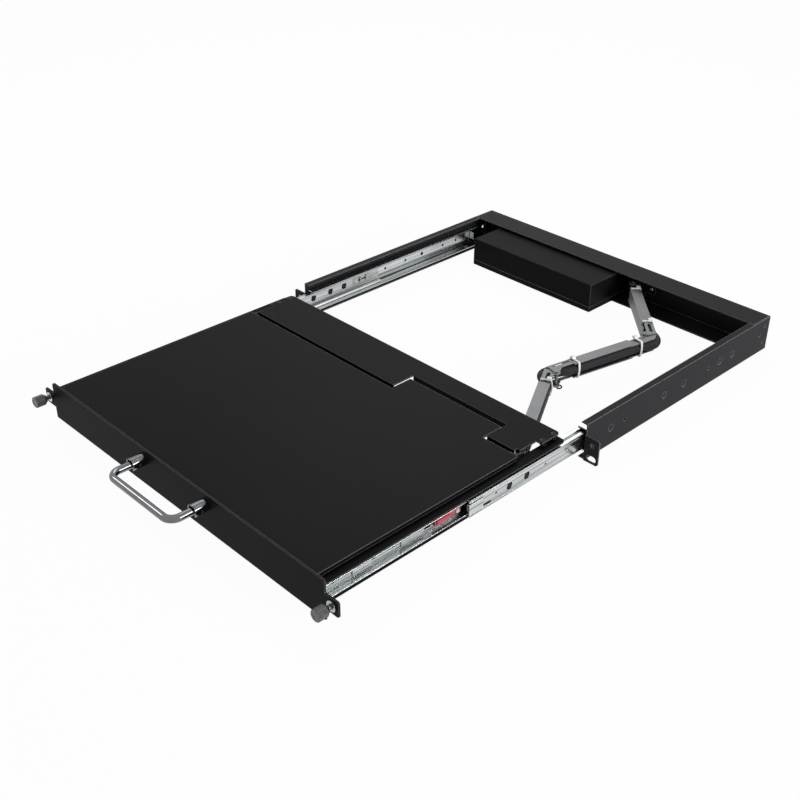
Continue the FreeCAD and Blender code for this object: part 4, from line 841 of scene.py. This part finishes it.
@dataclass
class Keyboard:
    """Printed legends of the keyboard in the tray.

    Each row has its number from the front and its keys. The number pad has rows of its own.
    """

    pitch: float = 19.0
    left: float = -180.5
    front: float = 96.0
    key_top: float = 30.0
    letter: float = 4.2
    word_share: float = 0.72
    inset: tuple[float, float] = (4.2, 9.5)
    ink: float = 0.03
    lift: float = 0.04
    pad_start: float = 15.15
    main_rows: tuple[tuple[int, Keys], ...] = (
        (5, keys(["Esc"]) + keys([""], 0.5) + function_keys(1) + keys([""], 0.25)
         + function_keys(5) + keys([""], 0.25) + function_keys(9)),
        (4, keys("`1234567890-=") + keys(["Back"], 2)),
        (3, keys(["Tab"], 1.5) + keys("QWERTYUIOP[]") + keys(["\\"], 1.5)),
        (2, keys(["Caps"], 1.75) + keys("ASDFGHJKL;'") + keys(["Enter"], 2.25)),
        (1, keys(["Shift"], 2.25) + keys("ZXCVBNM,./") + keys(["Shift"], 2.75)),
        (0, keys(["Ctrl", "", "Alt"], 1.25) + keys([""], 6.25)
         + keys(["Alt", "", "", "Ctrl"], 1.25)),
    )
    pad_rows: tuple[tuple[int, Keys], ...] = (
        (4, keys(["Num", "/", "*", "-"])),
        (3, keys("789")),
        (2, keys("456")),
        (1, keys("123")),
        (0, keys("0", 2) + keys(".")),
    )

    def legend(self, mesh: Mesh, text: str, x: float, y: float) -> None:
        """Adds one printed legend, a hair above its key.

        Args:
            mesh: the mesh that takes the letters.
            text: what the key says.
            x: the left edge of the text.
            y: the foot of the text.
        """
        font = bpy.data.curves.new("letters", "FONT")
        font.body = text
        font.size = self.letter if len(text) == 1 else self.letter * self.word_share
        font.extrude = self.ink
        font.resolution_u = 2
        holder = bpy.data.objects.new("letters", font)
        bpy.context.scene.collection.objects.link(holder)
        evaluated = holder.evaluated_get(bpy.context.evaluated_depsgraph_get())
        flat = bpy.data.meshes.new_from_object(evaluated)
        letters = bmesh.new()
        letters.from_mesh(flat)
        bpy.data.meshes.remove(flat)
        bpy.data.objects.remove(holder)
        bpy.data.curves.remove(font)
        height = self.key_top - SLOT_LEVEL + self.lift
        merge_in(mesh, letters, Matrix.Translation((x, y, height)))

    def build(self) -> None:
        """Prints every legend into one piece."""
        mesh = bmesh.new()
        right, back = self.inset
        for start, rows in ((0.0, self.main_rows), (self.pad_start, self.pad_rows)):
            for row, marks in rows:
                place = start
                for text, width in marks:
                    if text:
                        self.legend(mesh, text, self.left + place * self.pitch + right,
                                    self.front + row * self.pitch + back - TRAVEL)
                    place += width
        add_piece("key_legends", mesh, Finishes.LEGEND, "drawer")


@dataclass
class Lid:
    """The display lid."""

    def build(self) -> None:
        """Gives the lid's pieces their finishes."""
        dress(Finishes.BLACK_COAT, "lid_shell", "hinge_leaves")
        dress(Finishes.BLACK_PLASTIC, "display_frame", "display_power_button", "display_menu_pad")
        dress(Finishes.GLASS, "display_panel")
        dress(Finishes.BOARD, "driver_board")


@dataclass
class CableArm:
    """The hinged arm with its sleeved cable. Each link's frame runs along it from its first pin."""

    post: tuple[float, float] = (47.0, 319.0)
    turns: Triple = (-44.6, -102.1, -60.2)
    lengths: Triple = (128.8, 143.7, 158.4)
    pin_middle: float = 6.5
    pin_web: float = -1.5
    pin_open: float = 15.6
    level: float = 21.75
    sleeve_side: float = 8.2
    sleeve_radius: float = 5.95
    sleeve_bends: tuple[float, float] = (14.1, 16.6)
    sleeve_start: float = 20.0
    sleeve_stop: float = 34.0
    bend_room: tuple[float, float, float, float] = (26, 15, 27, 19)
    bend_points: int = 14
    ring_step: float = 1.6
    plait_length: float = 4.7
    eye_reach: float = 2.9
    eye_thick: float = 0.8
    eye_stretch: float = 1.25
    eye_place: Triple = (-1.4, 3.7, -10.85)

    def frame(self, number: int) -> Matrix:
        """The place of a link's own axes.

        Args:
            number: 1, 2 or 3, from the chassis to the drawer.

        Returns:
            The link's place in the model's frame.
        """
        pins = ((self.pin_middle, self.pin_web), (self.pin_web, self.pin_open),
                (self.pin_open, None))
        at = Matrix.Translation((*self.post, self.level - SLOT_LEVEL))
        for step in range(number):
            near, far = pins[step]
            at = (Matrix.Translation(at.translation)
                  @ Matrix.Rotation(math.radians(self.turns[step]), 4, "Z"))
            if step == number - 1:
                return at @ Matrix.Translation((0, -near, 0))
            at = at @ Matrix.Translation((self.lengths[step], far - near, 0))
        return at

    def half_bend(self, at: float, way: int, pin: float, bend: float, swing: float,
                  room: float) -> list[Vector]:
        """Poles of the sleeve's line round half an elbow, from the run in the link to the mitre.

        Args:
            at: where the elbow's pin is along the link.
            way: 1 if the link runs on from the elbow, -1 if it runs up to it.
            pin: where the pin is across the link.
            bend: the radius of the sleeve's line round the pin.
            swing: the angle between the two links, in degrees.
            room: how far along the link the bend starts.

        Returns:
            The four poles of a Bezier curve.
        """
        side = math.copysign(1, self.sleeve_side - pin)
        half, pull = math.radians(swing) / 2, room / 2
        start = Vector((at + way * room, self.sleeve_side, 0))
        end = Vector((at - way * bend * math.sin(half), pin + side * bend * math.cos(half), 0))
        lean = Vector((way * math.cos(half), side * math.sin(half), 0))
        return [start, start - Vector((way * pull, 0, 0)), end + lean * pull, end]

    def route(self, number: int) -> list[Vector]:
        """Points of the sleeve's centre line in a link, from the chassis end on.

        Args:
            number: the link's number.

        Returns:
            The points, in the link's own axes.
        """
        first, second, third = self.lengths
        one, two = self.sleeve_bends
        swing_one, swing_two = self.turns[0] - self.turns[1], self.turns[2] - self.turns[1]
        rooms = self.bend_room
        ends: dict[int, tuple[list[Vector], list[Vector]]] = {
            1: ([Vector((self.sleeve_start, self.sleeve_side, 0))],
                self.half_bend(first, -1, self.pin_web, one, swing_one, rooms[0])),
            2: (self.half_bend(0, 1, self.pin_web, one, swing_one, rooms[1]),
                self.half_bend(second, -1, self.pin_open, two, swing_two, rooms[2])),
            3: (self.half_bend(0, 1, self.pin_open, two, swing_two, rooms[3]),
                [Vector((third - self.sleeve_stop, self.sleeve_side, 0))]),
        }
        near, far = (interpolate_bezier(*poles, self.bend_points) if len(poles) == 4 else poles
                     for poles in ends[number])
        near = list(reversed(near))
        steps = max(2, int((far[0] - near[-1]).length / self.ring_step))
        run = [near[-1].lerp(far[0], step / steps) for step in range(1, steps)]
        return near + run + list(far)

    def sleeve(self, number: int) -> None:
        """One link's stretch of the braided sleeve, swept along its line.

        Args:
            number: the link's number.
        """
        points = self.route(number)
        place = self.frame(number)
        mesh = bmesh.new()
        layer = mesh.loops.layers.uv.new("plait")
        ring = bmesh.ops.create_circle(mesh, cap_ends=True, segments=32,
                                       radius=self.sleeve_radius)["verts"]
        loop = list(mesh.edges)
        upward = Vector((0, 0, 1))
        previous = Matrix.Identity(4)
        for index, point in enumerate(points):
            ahead = points[min(index + 1, len(points) - 1)] - points[max(index - 1, 0)]
            ahead.normalize()
            aim = Matrix((upward, ahead.cross(upward), ahead)).transposed().to_4x4()
            spot = Matrix.Translation(point) @ aim
            if index:
                made = bmesh.ops.extrude_edge_only(mesh, edges=loop)["geom"]
                ring = [item for item in made if isinstance(item, bmesh.types.BMVert)]
                loop = [edge for edge in made if isinstance(edge, bmesh.types.BMEdge)
                        and all(vert in ring for vert in edge.verts)]
            bmesh.ops.transform(mesh, matrix=spot @ previous.inverted(), verts=ring)
            previous = spot
        bmesh.ops.contextual_create(mesh, geom=loop)
        bmesh.ops.transform(mesh, matrix=place, verts=mesh.verts)
        self.unwrap(mesh, layer, place)
        add_piece(f"braided_sleeve_{number}", mesh, Finishes.BRAID, LINK_BODIES[number - 1],
                  (f"arm_sleeve_{number}",), smooth=60)

    def unwrap(self, mesh: Mesh, layer: Any, place: Matrix) -> None:
        """Lays the plait's map on a sleeve: turns round it against lengths along it.

        Args:
            mesh: the sleeve.
            layer: the UV layer.
            place: the link's place.
        """
        back = place.inverted()
        for face in mesh.faces:
            middle = back @ face.calc_center_median()
            turn = math.atan2(middle.z, self.sleeve_side - middle.y)
            for corner in face.loops:
                local = back @ corner.vert.co
                angle = math.atan2(local.z, self.sleeve_side - local.y)
                angle += math.tau * round((turn - angle) / math.tau)
                corner[layer].uv = (angle / math.tau * PLAIT_TURN, local.x / self.plait_length)

    def eyelet(self) -> None:
        """Black cable eye under the front elbow's rivet."""
        mesh = bmesh.new()
        turned_part(mesh, ring_profile(self.eye_reach, self.eye_thick), 24, Matrix.Identity(4))
        bmesh.ops.scale(mesh, vec=(self.eye_stretch, 1.0, 1.0), verts=mesh.verts)
        x, y, z = self.eye_place
        under_rivet = Matrix.Translation((x, self.pin_open + y, z))
        bmesh.ops.transform(mesh, matrix=self.frame(3) @ under_rivet, verts=mesh.verts)
        add_piece("cable_eye", mesh, Finishes.RUBBER, LINK_BODIES[2])

    def build(self) -> None:
        """Dresses the links and builds the sleeves."""
        for number in (1, 2, 3):
            dress(Finishes.ARM, f"arm_link_{number}")
            dress(Finishes.WHITE_NYLON, f"cable_ties_{number}")
            self.sleeve(number)
        dress(Finishes.ARM, "arm_rivets_rear", "arm_rivets_front")
        self.eyelet()


@dataclass(frozen=True)
class Lamp:
    """A square soft lamp: its place and size in metres, and its power in watts."""

    name: str
    place: Triple
    size: float
    power: float


@dataclass
class Studio:
    """Camera, floor and lights. The floor's reach and what the lamps aim at are metres."""

    eye: Triple = (812.4, -829.3, 680.8)
    azimuth: float = 46.11
    elevation: float = 31.59
    roll: float = 0.23
    lens: float = 52.82
    sensor: float = 36.0
    floor_reach: float = 6.0
    floor_drop: float = 1.0
    floor_glow: float = 0.96
    surround: float = 0.38
    aim: Triple = (0.0, -0.1, 0.0)
    lamps: tuple[Lamp, ...] = (
        Lamp("key_light", (-1.0, 1.0, 1.5), 0.9, 9.0),
        Lamp("side_light", (1.9, 0.5, 0.5), 0.9, 38.0),
        Lamp("left_light", (-1.5, -0.8, 1.5), 0.5, 6.0),
    )

    def seen_directly(self, tree: Tree) -> Socket:
        """1 for what the camera, a mirror or a glass sees, and 0 for what only lights.

        Args:
            tree: the node tree that takes the nodes.

        Returns:
            The share as a socket.
        """
        path = add(tree, "LightPath", {})
        mirror = add(tree, "Math", {"0": path.outputs["Is Camera Ray"],
                                    "1": path.outputs["Is Glossy Ray"]}, operation="MAXIMUM")
        return add(tree, "Math", {"0": mirror.outputs["Value"],
                                  "1": path.outputs["Is Transmission Ray"]},
                   operation="MAXIMUM").outputs["Value"]

    def camera(self) -> None:
        """Places the camera."""
        data = bpy.data.cameras.new("studio_camera")
        data.lens = self.lens
        data.sensor_width = self.sensor
        item = bpy.data.objects.new("studio_camera", data)
        turn, rise = math.radians(self.azimuth), math.radians(self.elevation)
        back = Vector((math.sin(turn) * math.cos(rise), -math.cos(turn) * math.cos(rise),
                       math.sin(rise)))
        aim = back.to_track_quat("Z", "Y").to_matrix().to_4x4()
        item.matrix_world = (Matrix.Translation(Vector(self.eye) * MM) @ aim
                             @ Matrix.Rotation(math.radians(self.roll), 4, "Z"))
        bpy.context.scene.collection.objects.link(item)
        bpy.context.scene.camera = item

    def world(self) -> None:
        """A soft grey surround that looks white to the camera and in reflections."""
        world = bpy.data.worlds.new("studio_world")
        world.use_nodes = True
        tree = world.node_tree
        tree.nodes.clear()
        shade = add(tree, "Background", {"Color": linear("#ffffff"), "Strength": self.surround})
        white = add(tree, "Background", {"Color": linear("#ffffff"), "Strength": 1.0})
        both = add(tree, "MixShader", {"Fac": self.seen_directly(tree)})
        tree.links.new(shade.outputs["Background"], both.inputs[1])
        tree.links.new(white.outputs["Background"], both.inputs[2])
        add(tree, "OutputWorld", {"Surface": both.outputs["Shader"]})
        bpy.context.scene.world = world

    def floor(self) -> None:
        """A plain pale floor under the object."""
        low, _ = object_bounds()
        mesh = bmesh.new()
        bmesh.ops.create_grid(mesh, x_segments=1, y_segments=1, size=self.floor_reach)
        bmesh.ops.translate(mesh, verts=mesh.verts, vec=(0, 0, low[2] - self.floor_drop * MM))
        data = bpy.data.meshes.new("floor")
        mesh.to_mesh(data)
        mesh.free()
        item = bpy.data.objects.new("floor", data)
        bpy.context.scene.collection.objects.link(item)
        made = bpy.data.materials.new("pale_floor")
        made.use_nodes = True
        tree = made.node_tree
        tree.nodes.clear()
        matt = add(tree, "BsdfDiffuse", {"Color": linear("#f4f4f4")})
        glow = add(tree, "Emission", {"Color": linear("#ffffff"), "Strength": 1.0})
        share = add(tree, "Math", {"0": self.seen_directly(tree), "1": self.floor_glow},
                    operation="MULTIPLY")
        both = add(tree, "MixShader", {"Fac": share.outputs["Value"]})
        tree.links.new(matt.outputs["BSDF"], both.inputs[1])
        tree.links.new(glow.outputs["Emission"], both.inputs[2])
        add(tree, "OutputMaterial", {"Surface": both.outputs["Shader"]})
        data.materials.append(made)
        item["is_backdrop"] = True

    def lights(self) -> None:
        """A soft key above the back, a strong low lamp on the right, and a weak fill."""
        for lamp in self.lamps:
            data = bpy.data.lights.new(lamp.name, "AREA")
            data.size = lamp.size
            data.energy = lamp.power
            item = bpy.data.objects.new(lamp.name, data)
            back = Vector(lamp.place) - Vector(self.aim)
            turn = back.to_track_quat("Z", "Y").to_matrix().to_4x4()
            item.matrix_world = Matrix.Translation(lamp.place) @ turn
            bpy.context.scene.collection.objects.link(item)

    def build(self) -> None:
        """Sets up the whole studio."""
        self.camera()
        self.world()
        self.floor()
        self.lights()
        bpy.context.scene.view_settings.view_transform = "Standard"


def main() -> None:
    """Builds the looks of the whole object."""
    logging.basicConfig(level=logging.INFO, format="%(name)s: %(message)s")
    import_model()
    Studio().build()
    for part in (Chassis(), Slides(), Drawer(), Keyboard(), Lid(), CableArm()):
        part.build()


if __name__ == "__main__":
    main()
